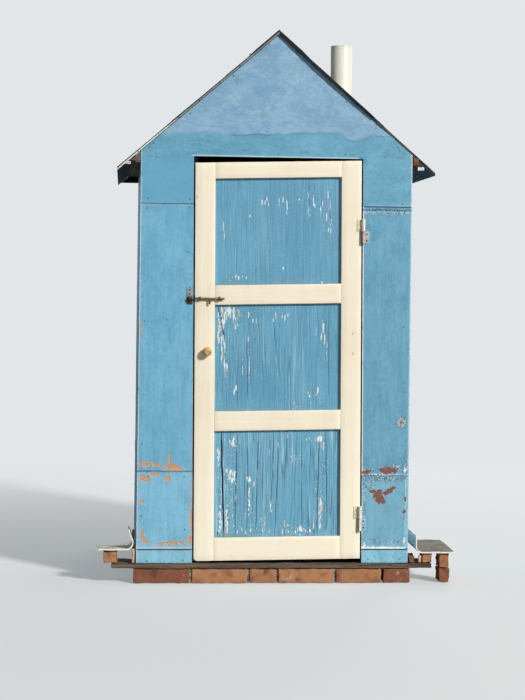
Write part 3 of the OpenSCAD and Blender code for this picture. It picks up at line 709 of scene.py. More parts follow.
def gable_paint():
    """The gable: faded above, and painted over in a deeper blue-green below a ragged line."""
    f = new_finish("gable_paint")
    upper_tones = tone(124, 163, 189), tone(137, 172, 196), tone(102, 145, 178)
    upper, upper_height = paint_layers(f, *upper_tones, level, 0.1)
    cloud = f.noise(6, 6, (0.7, 1, 1), warp=1.4, rough=0.62, shift=2)
    upper = f.mix(cloud.step(0.5, 0.6) * 0.5, upper, tone(106, 150, 180))
    brush = f.noise(17, 5, (0.5, 1, 1.1), warp=1.8, rough=0.6, shift=4)
    upper = f.mix(brush.step(0.53, 0.62) * 0.55, upper, tone(106, 144, 188))
    dabs = f.noise(60, 5, (0.8, 1, 1), warp=1.0, rough=0.65, shift=6)
    upper = f.mix(dabs.step(0.53, 0.64) * 0.35, upper, tone(104, 145, 178))
    chalk = f.noise(36, 6, (0.7, 1, 1), warp=0.8, rough=0.66, shift=1).step(0.51, 0.68)
    upper = f.mix(chalk * 0.32, upper, tone(168, 194, 208))
    lower_tones = tone(92, 152, 178), tone(104, 162, 188), tone(76, 132, 160)
    lower, lower_height = paint_layers(f, *lower_tones, level, 0.12)
    x, z = f.axis("X"), f.axis("Z")
    stains = f.noise(13, 5, (0.8, 1, 1), warp=0.8, shift=5).step(0.48, 0.62) * z.step(1.86, 1.95)
    lower = f.mix(stains * 0.35, lower, tone(78, 138, 162))
    lower = f.mix(z.step(1.95, 1.86) * x.step(0.2, -0.3) * 0.7, lower, tone(92, 156, 188))
    at = warped(f, 0.03, 14)
    height = f.node("ShaderNodeSeparateXYZ", {}, {0: at}).also("Z")
    hump = (x.step(0.02, 0.12) - x.step(0.24, 0.34)) * 0.008 - (x - 0.35).size().step(0.09, 0.0) * 0.03
    line = repaint_line - x.step(-0.2, -0.5) * 0.008 + hump
    under = line + (f.noise(5, 2, (1, 0, 0)) - 0.5) * 0.04 - height
    blurred = x.step(-0.12, -0.26)
    soft = (under + (dabs - 0.5) * 0.05 + (cloud - 0.5) * 0.08).step(-0.022, 0.022)
    over = under.step(-0.003, 0.004) * (1 - blurred) + soft * blurred
    rim = under.step(-0.004, 0.001) - under.step(0.002, 0.012)
    colour = f.mix(over, upper, lower)
    colour = f.mix(rim * x.step(-0.2, 0.05) * 0.4, colour, tone(70, 122, 150))
    damp = f.noise(34, 5, (0.5, 1, 1), rough=0.62, shift=3) - 0.6 + (1.955 - z) * 1.2
    colour = f.mix(damp.step(0, 0.05) * z.step(1.904, 1.91) * 0.45, colour, tone(64, 114, 138))
    crest = repaint_line - 0.006 + (f.noise(9, 3, (1, 0, 0), shift=3) - 0.5) * 0.06
    wave = (height - crest).size().step(0.003, 0.0012) * (x + 0.12).size().step(0.1, 0.07)
    colour = f.mix(wave * 0.6, colour, tone(62, 112, 118))
    moss_places = [(-200, 2006, 22, 12), (-190, 2240, 12, 26), (-60, 2385, 20, 16), (-330, 2120, 20, 20)]
    moss = spots(f, at, moss_places) + (f.noise(90, 5, rough=0.65, shift=9) - 0.55) * 3.4
    colour = f.mix(moss.step(0, 0.4) * 0.3, colour, tone(74, 124, 124))
    chip = f.cells(120, (1, 1, 0.8)).step(0.1, 0.04) * f.noise(14, 3, shift=4).step(0.55, 0.65)
    colour = f.mix(chip * 0.5, colour, tone(196, 214, 220))
    head = (z - door_head_rim).size().step(0.004, 0.002) * (x + 0.01).size().step(0.375, 0.37)
    colour = f.mix(head * 0.6, colour, tone(196, 220, 226))
    pale_edge = tone(176, 208, 220)
    rims = [("X", rim_x, 0.005, 0.6, pale_edge), ("X", -rim_x, 0.0045, 0.5, pale_edge)]
    worn_rims = [("X", wall_half, 0.012, 0.7, undercoat), ("X", -wall_half, 0.008, 0.5, undercoat)]
    colour = worn_edges(f, edge_lines(f, colour, rims), worn_rims)
    return f.surface(colour, 0.5, upper_height + lower_height * 0.3 + over * 0.8 + chalk * 0.3, 0.0007)


def gable_bend(place):
    foot = smooth(1 - (place.z - gable_foot) / 0.01) * (0.0024 if place.x > 0 else 0.0008)
    return 0.0012 * max(0, noise.noise(place * 3)) + foot


sheet("gable_board", "gable_sheet_front", gable_bend, gable_paint(), (0, 1, 0), "blue_gable")

line_white = tone(236, 240, 240)
line_pale = tone(172, 212, 228)
# Painted shade: the dark line colour stands for the shadow along the seams, under an edge above.
seam_shade = tone(40, 58, 66)
left_rim = ("X", -rim_x, 0.0045, 0.75, line_pale)
left_low, left_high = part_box("front_sheet_left")
left_paint = blue_finish(
    "left_sheet_paint", tone(98, 161, 193), tone(112, 171, 199), tone(88, 146, 178), upright,
    peels=[(-580, 530, 18, 10), (-548, 533, 20, 9), (-511, 527, 11, 9), (-466, 540, 7, 26),
           (-450, 512, 28, 15), (-424, 507, 22, 8), (-600, 1130, 3, 40)],
    inside=fibre_tan, feather=0.4, bare_share=0.85,
    edges=[("X", -wall_half, 0.03, 0.4, lilac), ("Z", left_high.z, 0.04, 0.5, lilac),
           ("X", -wall_half, 0.01, 0.5, undercoat), ("X", -0.366, 0.012, 0.5, fibre_tan),
           ("Z", left_low.z, 0.016, 0.4, speck_dark)],
    # The dark lines along the sheet's bottom and top edges are painted shade at the seams.
    lines=[left_rim, ("Z", left_low.z + 0.001, 0.003, 0.4, seam_shade),
           ("Z", left_high.z - 0.001, 0.003, 0.4, seam_shade)])
sheet("left_board", "front_sheet_left", front_bend("front_sheet_left", 0.0014, 0.0014, 3), left_paint,
      (0, 1, 0), "blue_sheet")

low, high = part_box("lower_sheet_left")
lower_left_paint = blue_finish(
    "lower_left_paint", tone(114, 174, 202), tone(126, 184, 210), tone(98, 158, 188), upright,
    peels=[(-586, 472, 13, 12), (-566, 462, 16, 9), (-534, 486, 20, 8), (-476, 464, 15, 12),
           (-588, 214, 7, 18), (-576, 196, 10, 12), (-566, 184, 12, 7), (-452, 180, 36, 9),
           (-412, 183, 16, 8), (-584, 364, 10, 7), (-374, 200, 7, 20), (-500, 176, 22, 5),
           (-368, 300, 4, 40)],
    inside=fibre_tan, feather=0.4, bare_share=0.85,
    edges=[("X", -wall_half, 0.05, 0.4, lilac), ("X", -0.364, 0.06, 0.45, lilac),
           ("Z", low.z, 0.06, 0.45, lilac), ("X", -wall_half, 0.012, 0.5, undercoat),
           ("X", -0.364, 0.02, 0.6, fibre_tan), ("Z", low.z, 0.02, 0.5, fibre_tan),
           ("Z", high.z, 0.014, 0.5, speck_dark)],
    lines=[left_rim, ("Z", low.z + 0.003, 0.003, 0.25, line_white)])
sheet("lower_left_board", "lower_sheet_left", front_bend("lower_sheet_left", 0.001, 0.0035, 8),
      lower_left_paint, (0, 1, 0), "blue_sheet")

right_low, right_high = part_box("front_sheet_right")
right_gap = 0.4
right_paint = blue_finish(
    "right_sheet_paint", tone(92, 150, 177), tone(102, 158, 184), tone(78, 132, 160), upright,
    peels=[(418, 500, 18, 10), (500, 506, 26, 14), (530, 508, 30, 14)],
    whites=[(594, 508, 6, 16)], knocks=[(574, 722, 21, 23)],
    cracks=[(520, 1664, 40, 12), (582, 1662, 26, 14), (440, 1668, 50, 7), (545, 520, 46, 20),
            (574, 726, 26, 26), (430, 505, 36, 16), (597, 540, 12, 40)],
    inside=fibre_red, mottle=0.7,
    # The dark band and line along the top edge, and the dark line along the bottom, are painted shade at
    # the seams.
    edges=[("X", right_high.x, 0.01, 0.6, undercoat), ("gap", right_gap, 0.01, 0.6, undercoat),
           ("Z", right_low.z, 0.02, 0.7, undercoat), ("Z", right_high.z - 0.02, 0.02, 0.8, undercoat),
           ("Z", right_high.z - 0.014, 0.018, 1.0, seam_shade)],
    lines=[("X", right_high.x - 0.002, 0.005, 0.6, line_pale),
           ("Z", right_high.z - 0.001, 0.003, 0.6, seam_shade),
           ("gap", right_gap + 0.002, 0.003, 0.8, line_white),
           ("Z", right_low.z + 0.001, 0.003, 0.5, seam_shade)])
sheet("right_board", "front_sheet_right", front_bend("front_sheet_right", 0.0014, 0.0014, 5), right_paint,
      (0, 1, 0), "blue_sheet")

low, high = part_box("lower_sheet_right")
lower_right_paint = blue_finish(
    "lower_right_paint", tone(106, 163, 186), tone(118, 171, 193), tone(90, 146, 172), upright,
    peels=[(474, 394, 28, 26), (484, 368, 22, 15), (450, 412, 16, 9), (508, 402, 16, 9), (518, 410, 14, 9),
           (526, 418, 14, 9), (533, 424, 11, 8), (540, 430, 10, 8), (595, 376, 5, 12), (591, 320, 6, 11)],
    whites=[(594, 190, 5, 18), (410, 170, 8, 10), (500, 159, 100, 4)],
    cracks=[(500, 466, 110, 16), (430, 436, 40, 26), (455, 186, 40, 12), (545, 184, 44, 12),
            (410, 340, 10, 130), (592, 330, 12, 70)],
    inside=fibre_red, mottle=0.7,
    edges=[("X", high.x, 0.01, 0.5, undercoat), ("X", 0.4, 0.012, 0.5, undercoat),
           ("Z", low.z, 0.03, 0.7, undercoat), ("Z", high.z - 0.01, 0.05, 0.6, speck_dark)],
    lines=[("Z", low.z + 0.003, 0.0045, 0.95, line_white), ("X", high.x - 0.002, 0.004, 0.5, line_pale)])
sheet("lower_right_board", "lower_sheet_right", front_bend("lower_sheet_right", 0.001, 0.005, 6),
      lower_right_paint, (0, 1, 0), "blue_sheet")

low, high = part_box("plinth_strips")
plinth_paint = blue_finish(
    "plinth_paint", tone(126, 182, 205), tone(136, 191, 212), tone(100, 156, 182), upright,
    edges=[("Z", low.z, 0.014, 0.5, speck_dark), ("X", -0.353, 0.01, 0.5, speck_dark)],
    # The dark line along the plinth's top is painted shadow, under the lips of the sheets above.
    lines=[("Z", high.z - 0.001, 0.0045, 0.9, seam_shade), ("X", -rim_x, 0.0045, 0.6, line_pale)])
sheet("plinth_boards", "plinth_strips", lambda place: 0, plinth_paint, (0, 1, 0), "blue_sheet")
bm = bmesh.new()
strip_low, strip_high = (high.x + 0.0005, 0.002, low.z), (wall_half + 0.0005, 0.0048, right_low.z - 0.004)
join(bm, worn_block(strip_low, strip_high, ease=0.0005, cell=0.02, wear=0.0006, lump=0.02, seed=7))
show("corner_strip", bm, "shed", "blue_sheet", plinth_paint)

side_tones = tone(96, 156, 186), tone(112, 170, 198), tone(80, 134, 162)
rear_tones = tone(100, 160, 190), tone(118, 174, 202), tone(82, 136, 164)
side_paint = blue_finish("side_paint", *side_tones, upright)
rear_paint = blue_finish("rear_paint", *rear_tones, upright)
seam_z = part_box("lower_sheet_left")[1].z


def side_bend(place):
    panel = 0.5 + noise.noise(Vector((place.y * 4, place.z * 2.5, place.x)))
    seam = 0.0015 * smooth(1 - abs(place.z - seam_z) / 0.02)
    return 0.0015 * panel + seam


sheet("left_side_boards", "side_sheets_left", side_bend, side_paint, (1, 0, 0), "blue_side", 0.04)
sheet("right_side_boards", "side_sheets_right", side_bend, side_paint, (-1, 0, 0), "blue_side", 0.04)
sheet("rear_boards", "rear_sheets", side_bend, rear_paint, (0, -1, 0), "blue_side", 0.04)


# The nails of the sheets: round heads driven flush along the edges and seams, painted over and
# rusting through. Those of the front have the real ones' places.
front_nails = [
    (-44, 2408), (-202, 2265), (-392, 2093), (-553, 1959), (-572, 1941), (-539, 1898), (174, 2278),
    (309, 2160), (442, 2045), (543, 1960), (552, 1947), (-276, 1921), (3, 1921), (305, 1923),
    (-576, 1714), (-390, 1713), (-579, 1670), (-388, 1674), (399, 1700), (568, 1704), (-391, 1476),
    (-583, 1167), (-486, 1175), (580, 1152), (575, 1666), (-584, 840), (-386, 1320), (588, 860),
    (-590, 620), (-560, 478), (-400, 476), (-588, 300), (-395, 240), (560, 466), (-560, 100),
    (-400, 104), (430, 106), (570, 108),
]
nail_paint = new_finish("painted_nail")
rusty = nail_paint.noise(160, 3).step(0.4, 0.6)
nail_colour = nail_paint.mix(rusty, tone(54, 84, 98), tone(92, 140, 162))
nail_paint = nail_paint.surface(nail_colour, 0.55, rusty, 0.0003)
bm = bmesh.new()
for x, z in front_nails:
    round_head(bm, (x / 1000, -0.0006, z / 1000), (0, -1, 0), 0.0036, 0.0014)
side_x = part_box("side_sheets_right")[1].x
rear_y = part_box("rear_sheets")[1].y
for z in (0.12, 0.3, seam_z - 0.02, seam_z + 0.022, 0.75, 1.0, 1.25, 1.5, 1.68, 1.86):
    close = abs(z - seam_z) < 0.03 or z > 1.6 or z < 0.2
    for y in (0.03, 0.32, 0.6, 0.88, 1.17) if close else (0.03, 1.17):
        for side in (-1, 1):
            jog = rng.uniform(-0.008, 0.008)
            place = (side * (side_x + 0.0006), y + jog, z + rng.uniform(-0.005, 0.005))
            round_head(bm, place, (side, 0, 0), 0.0042, 0.0016)
    for x in (-0.58, -0.29, 0, 0.29, 0.58) if close else (-0.58, 0.58):
        place = (x + rng.uniform(-0.008, 0.008), rear_y + 0.0006, z + rng.uniform(-0.005, 0.005))
        round_head(bm, place, (0, 1, 0), 0.0042, 0.0016)
show("sheet_nails", bm, "shed", "blue_sheet", nail_paint, sharp=60)


# The eave fillets: a three-cornered piece of old wood under each eave, brown with age, with a few
# scraps of board and sheet left where the wall meets the roof.
def drawn(bm, face, step):
    """Draws a face out by a step, and gives the new end face."""
    geom = bmesh.ops.extrude_face_region(bm, geom=[face])["geom"]
    bmesh.ops.translate(bm, vec=step, verts=[g for g in geom if isinstance(g, bmesh.types.BMVert)])
    return [g for g in geom if isinstance(g, bmesh.types.BMFace)][0]


roof_pitch = math.radians(41)
slope_rise = math.tan(roof_pitch)
fillet_left = wood_finish("grey_fillet", tone(78, 64, 56), tone(120, 104, 92), along_y)
fillet_right = wood_finish("red_fillet", tone(96, 58, 46), tone(132, 92, 76), along_y)
show_worn("left_fillet", "eave_fillet_left", "eave_wood_left", fillet_left,
          ease=0.002, cell=0.04, wear=0.003, lump=0.03, seed=2)
show_worn("right_fillet", "eave_fillet_right", "eave_wood_right", fillet_right,
          ease=0.002, cell=0.04, wear=0.003, lump=0.03, seed=6)
eave_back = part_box("roof_board_left")[1].y
bm = bmesh.new()
eave_end_thick = 0.018
outline = [(-0.698, 1.8465), (-0.6105, 1.8465), (-0.6105, 1.8465 + 0.0875 * slope_rise)]
face = bm.faces.new([bm.verts.new((x, eave_back - 0.026, z)) for x, z in outline])
drawn(bm, face, (0, eave_end_thick, 0))
bmesh.ops.recalc_face_normals(bm, faces=bm.faces[:])
ease_edges(bm, 0.001, 1)
# The end piece is given near-black wood: painted shade, for the dark under the left eave.
end_wood = wood_finish("eave_end_wood", tone(26, 26, 24), tone(44, 42, 40), along_x)
show("left_eave_end", bm, "shed", "eave_wood_left", end_wood)
scrap_white = new_finish("scrap_white")
scrap_grain = scrap_white.noise(60, 4, along_y)
scrap_colour = scrap_white.mix(scrap_grain.step(0.45, 0.7), tone(214, 216, 212), tone(150, 152, 150))
scrap_white = scrap_white.surface(scrap_colour, 0.8, scrap_grain, 0.0008)


def scrap(bm, low, high, surface, seed):
    low = Vector(low) / 1000
    high = Vector(high) / 1000
    join(bm, worn_block(low, high, 0.0008, cell=0.008, wear=0.003, lump=0.012, seed=seed, surface=surface))


bm = bmesh.new()
scrap(bm, (-690, -22, 1862), (-655, -6, 1875), 0, 3)
scrap(bm, (-633, -14, 1872), (-614, -2, 1925), 0, 5)
show("left_eave_scraps", bm, "shed", "roof_board", scrap_white)
bm = bmesh.new()
scrap(bm, (634, -3, 1856), (664, 12, 1874), 0, 7)
scrap(bm, (613, -3, 1878), (640, 30, 1916), 1, 9)
show("right_eave_scraps", bm, "shed", "eave_wood_right", scrap_white, fillet_right)

# The roof: thin grey boards that lie along the slopes over two pairs of rafters. Their ends were cut
# back almost to the gable on the right, and stand out a little further on the left.
board_wide = 0.118
board_gap = 0.0015


def slope_axes(side):
    """Which way a slope runs down, and which way it faces: -1 for the left and 1 for the right."""
    down = Vector((side * math.cos(roof_pitch), 0, -math.sin(roof_pitch)))
    facing = Vector((side * math.sin(roof_pitch), 0, math.cos(roof_pitch)))
    return down, facing


board_grey = new_finish("roof_board_grey")
grain = board_grey.noise(200, 3, along_y)
cloud = board_grey.noise(14, 4, (1, 0.3, 1))
grey = board_grey.mix(cloud.step(0.4, 0.65), tone(134, 138, 138), tone(116, 118, 116))
rubbed = board_grey.axis("X").size() + (cloud - 0.5) * 0.2
grey = board_grey.layers(
    grey, (rubbed, 0.44, 0.52, 1.0, tone(214, 214, 204)), (grain, 0.52, 0.72, 0.5, tone(112, 110, 104)))
slope_height = board_grey.axis("Z") + board_grey.axis("X") * slope_rise
board_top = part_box("roof_board_right")[1].z
# Painted shade: on the right, the lower part of the boards' front edge is coloured dark slate, as if it lay
# in shadow under the boards' ends.
painted_edge_shade = board_grey.axis("Y").step(0.007, 0.005) * board_grey.axis("X").step(0.1, 0.16)
painted_edge_shade = painted_edge_shade * slope_height.step(board_top - 0.001, board_top - 0.003)
grey = board_grey.mix(painted_edge_shade * 0.9, grey, tone(34, 42, 50))
board_grey = board_grey.surface(grey, 0.85, grain, 0.0008)
# The boards' underside is a darker, bluer grey than their top: painted shade, for the shadow under the
# roof.
board_under = new_finish("roof_board_underside")
grain = board_under.noise(160, 3, along_y)
grey = board_under.mix(grain.step(0.4, 0.7), tone(78, 88, 100), tone(52, 58, 68))
board_under = board_under.surface(grey, 0.85, grain, 0.0008)


def split_boards(node, side, rng):
    """The boarding of one slope, parted into boards with ends of their own."""
    down = slope_axes(side)[0]
    ridge = Vector((0, 0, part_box(node)[1].z))
    length = abs(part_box(node)[0].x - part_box(node)[1].x) / math.cos(roof_pitch)
    whole = cad_copy(node)
    boards = bmesh.new()
    count = round(length / board_wide)
    for i in range(count):
        part = whole.copy()
        for j, out in ((i, -1), (i + 1, 1)):
            if (j == 0 and out == -1) or (j == count and out == 1):
                continue
            place = ridge + down * (j * length / count - out * board_gap / 2)
            cut = cut_along(part, place, down * out, clear_outer=True)
            rim = [e for e in cut if isinstance(e, bmesh.types.BMEdge)]
            bmesh.ops.holes_fill(part, edges=rim, sides=0)
        ease_edges(part, 0.0012, 1)
        cut_into_cells(part, 0.05, "xy")
        wear_down(part, 0.0012, 0.03, i)
        draw = rng.uniform(0, 0.004)
        for v in part.verts:
            if v.co.y < 0:
                v.co.y += draw + 0.002 * (1 + noise.noise(v.co * 60))
        part.normal_update()
        for face in part.faces:
            face.material_index = 1 if face.normal.z < -0.5 else 0
        join(boards, part)
    whole.free()
    return boards


rng = random.Random(31)
for hand, side in (("left", -1), ("right", 1)):
    boards = split_boards("roof_board_" + hand, side, rng)
    show(hand + "_roof_boards", boards, "shed", "roof_board", board_grey, board_under,
         replaces=("roof_board_" + hand,))

# The felt: strips of sanded roofing felt laid along the roof, each lapping over the one below it,
# nailed at the laps and turned down over the boards' ends on the upper right.
felt = new_finish("sanded_felt")
grit = felt.noise(900, 2)
wear = felt.noise(7, 5, (1, 0.4, 1))
streak = felt.noise(30, 3, (1, 1, 0.1))
dark_felt = felt.mix(grit.step(0.35, 0.7), tone(30, 32, 37), tone(58, 60, 66))
dark_felt = felt.layers(
    dark_felt, (wear, 0.5, 0.75, 0.4, tone(86, 86, 86)), (streak, 0.55, 0.75, 0.3, tone(30, 31, 35)))
frayed = felt.axis("Y").step(0.004, 0.002) * (felt.axis("X") + wear * 0.2).step(0.48, 0.56)
dark_felt = felt.mix(frayed * 0.9, dark_felt, tone(206, 206, 196))
felt = felt.surface(dark_felt, 0.9, grit + wear * 2, 0.0008)
felt_laps = 3
lap_rise = 0.0012
felt_wave = 0.001


def laid_felt(node, side, laps, seed):
    """A felt layer that lifts a little towards each lap's lower edge and lies in low waves."""
    down, normal = slope_axes(side)
    low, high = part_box(node)
    top = Vector((0, 0, high.z))
    length = (high.x - low.x) / math.cos(roof_pitch)
    bm = cad_copy(node)
    ease_edges(bm, 0.0008, 1)
    for lap in range(1, laps):
        for edge in (-0.002, 0.002):
            cut_along(bm, top + down * (lap * length / laps + edge), down)
    cut_into_cells(bm, 0.035, "xy")
    for v in bm.verts:
        part = ((v.co - top).dot(down) / length * laps) % 1.0
        above = (v.co - top).dot(normal) > -0.0022 - 0.003
        lift = lap_rise * part * part if laps > 1 else 0
        wave = felt_wave * max(0, noise.noise(v.co * 7 + Vector((seed, 0, 0))))
        if above:
            v.co += normal * (lift + wave)
    return bm


show("left_felt", laid_felt("roof_felt_left", -1, felt_laps, 2), "shed", "roof_felt", felt,
     replaces=("roof_felt_left",), sharp=30)
show("right_felt", laid_felt("roof_felt_right", 1, felt_laps, 5), "shed", "roof_felt", felt,
     replaces=("roof_felt_right",), sharp=30)
ridge_copy = worn_copy("ridge_felt", ease=0.0008, cell=0.035, axes="xy", wear=0.0006)
for v in ridge_copy.verts:
    near_rim = smooth((abs(v.co.x) - 0.11) / 0.03)
    v.co.z += 0.0016 + 0.0008 * max(0, noise.noise(v.co * 9)) - 0.0042 * near_rim
show("ridge_strip", ridge_copy, "shed", "roof_felt", felt, replaces=("ridge_felt",), sharp=30)

# The turned-down edge of the felt, on the upper right: it covers the ends of the boards where they
# stand out most, follows their plan, and has come off further down.
fold_stops = [(0.0, -0.008), (0.133, -0.014), (0.4, -0.014), (0.43, -0.012)]
fold_thick = 0.003
fold_drop = 0.013
ridge_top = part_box("roof_felt_right")[1].z
bm = bmesh.new()
x, y = fold_stops[0]
top = ridge_top - 0.001
foot, front = top - fold_drop, y - fold_thick
outline = [(x, y, top), (x, front, top), (x, front, foot), (x, y, foot)]
face = bm.faces.new([bm.verts.new(corner) for corner in outline])
for next_x, next_y in fold_stops[1:]:
    face = drawn(bm, face, (next_x - x, next_y - y, -(next_x - x) * slope_rise))
    x, y = next_x, next_y
cut_into_cells(bm, 0.012, "x")
for v in bm.verts:
    if v.co.z < top - v.co.x * slope_rise - fold_drop / 2:
        worn_back = fold_drop * 0.6 * smooth((v.co.x - 0.25) / 0.18)
        v.co.z += 0.0015 * noise.noise(Vector((v.co.x * 40, 0, 1))) + worn_back
bmesh.ops.recalc_face_normals(bm, faces=bm.faces[:])
# The fold is painted near-black and bluer than the felt itself: painted shade on the turned-down edge.
fold_felt = new_finish("fold_felt")
fold_grit = fold_felt.noise(160, 4)
fold_tone = fold_felt.mix(fold_grit.step(0.45, 0.65), tone(6, 10, 16), tone(14, 20, 28))
fold_felt = fold_felt.surface(fold_tone, 0.9, fold_grit, 0.0006)
show("felt_fold", bm, "shed", "roof_felt", fold_felt)

# The felt's nails: broad iron heads, in a row above the lower edge of each lap and along both
# edges of the ridge strip.
felt_head = (0.006, 0.0018)
head_lift = 0.0022
strip_rise = 0.0085
bm = bmesh.new()
for side in (-1, 1):
    down, normal = slope_axes(side)
    for reach in (0.31, 0.62, 0.915):
        for i in range(10):
            place = Vector((0, 0.03 + i * 0.127, ridge_top)) + down * (reach - 0.012) + normal * head_lift
            round_head(bm, place + Vector((0, rng.uniform(-0.01, 0.01), 0)), normal, *felt_head)
    for i in range(8):
        place = Vector((0, 0.05 + i * 0.157, ridge_top + strip_rise)) + down * 0.165 + normal * head_lift
        round_head(bm, place, normal, *felt_head)
show("felt_nails", bm, "shed", "bare_timber", nail_iron, sharp=60)

# The door's boards: old softwood boards side by side behind the frame, painted white and then blue.
# The paint has wrinkled along the grain, split with the wood and come off in flakes.
board_verts = [v.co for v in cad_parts["door_boards"].data.vertices]
leaf_low_l = min(board_verts, key=lambda p: p.x + p.z)
leaf_low_r = max(board_verts, key=lambda p: p.x - p.z)
leaf_high_l = min(board_verts, key=lambda p: p.x - p.z)
leaf_high_r = max(board_verts, key=lambda p: p.x + p.z)
board_y0, board_y1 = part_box("door_boards")[0].y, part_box("door_boards")[1].y


def leaf_place(u, v):
    """A place on the door, from 0 to 1 away from the latch edge and up from the foot."""
    foot = leaf_low_l.lerp(leaf_low_r, u)
    head = leaf_high_l.lerp(leaf_high_r, u)
    return foot.lerp(head, v)


# Cracks in the boards: the x and z of the upper end and of the foot, half the width and the depth,
# in mm.
board_cracks = [
    (-262, 1245, -226, 1085, 2.4, 7.0), (-238, 694, -219, 192, 3.0, 9.0),
    (-181, 1512, -180, 1385, 1.3, 2.4), (-88, 1240, -44, 860, 1.4, 1.8), (-24, 1250, 34, 840, 1.5, 2.0),
    (-165, 690, -172, 200, 1.4, 2.6), (-120, 640, -112, 200, 1.3, 2.2), (-70, 690, -78, 200, 1.6, 3.4),
    (-2, 690, -12, 260, 1.5, 2.4), (24, 690, 8, 196, 1.6, 2.8), (60, 690, 46, 420, 1.3, 1.8),
    (100, 695, 92, 300, 1.3, 2.2), (124, 690, 130, 200, 1.3, 2.0), (168, 690, 160, 420, 1.3, 1.8),
    (205, 690, 196, 200, 1.6, 3.4), (232, 690, 246, 200, 1.6, 3.0), (225, 1800, 252, 1500, 1.3, 2.0),
    (140, 1800, 146, 1640, 1.3, 2.0), (-255, 232, -240, 205, 2.2, 5.0), (236, 1260, 246, 790, 1.3, 2.0),
    (62, 1820, 74, 1350, 1.0, 1.2), (-130, 1240, -100, 790, 1.3, 1.8), (150, 1250, 172, 800, 1.2, 1.5),
    (96, 1240, 118, 900, 1.2, 1.5), (-58, 1160, -30, 850, 1.3, 1.7), (-10, 1200, 10, 900, 1.2, 1.6),
    (214, 1215, 240, 1010, 1.4, 2.2), (-176, 1200, -168, 790, 1.2, 1.8),
    (-206, 1000, -198, 860, 1.1, 1.5), (30, 1010, 44, 860, 1.2, 1.5), (-130, 1150, -119, 790, 1.7, 3.0),
    (-152, 1010, -149, 800, 1.2, 2.0), (44, 1790, 52, 1680, 1.4, 2.2), (140, 1800, 149, 1640, 1.5, 2.6),
    (168, 1796, 174, 1690, 1.3, 2.2), (194, 1790, 203, 1650, 1.4, 2.4),
    (228, 1806, 248, 1560, 1.6, 2.8), (8, 1750, 15, 1690, 1.2, 2.0), (-242, 1620, -224, 1470, 1.4, 2.2),
    (-62, 1730, -56, 1690, 1.2, 2.0), (186, 1250, 194, 1090, 1.4, 2.2), (4, 1240, 24, 1120, 1.3, 2.0),
]


def board_depth(place):
    """How far the boards' face lies behind the frame's back: ridges of the grain, wrinkles, cracks."""
    x, z = place.x, place.z
    lean = x - 0.05 * (z - 0.9) * noise.noise(Vector((x * 5, z * 0.8, 4)))
    power = 0.22 + 0.78 * smooth((1.6 - z) / 1.1)
    ridges = noise.noise(Vector((lean * 150, z * 3, 1))) * 0.0003
    fine = noise.noise(Vector((lean * 280, z * 6, 2))) * 0.0002
    wrinkle = max(0, 1 - abs(noise.noise(Vector((lean * 48, z * 1.7, 3)))) * 3.0)
    depth = (ridges + fine + wrinkle ** 6 * 0.0009) * power + 0.001
    for x_top, z_top, x_foot, z_foot, half, deep in board_cracks:
        if z_foot < z * 1000 < z_top:
            part = (z_top - z * 1000) / (z_top - z_foot)
            middle = x_top + (x_foot - x_top) * part + 3 * noise.noise(Vector((0, z * 16, x_top)))
            off = abs(x * 1000 - middle) / (half * 1.2 * (0.75 + 0.25 * math.sin(math.pi * part)))
            if off < 1:
                depth += (1 - off) * deep * 1.2 / 1000 * min(1, 6 * part, 6 * (1 - part))
    return depth


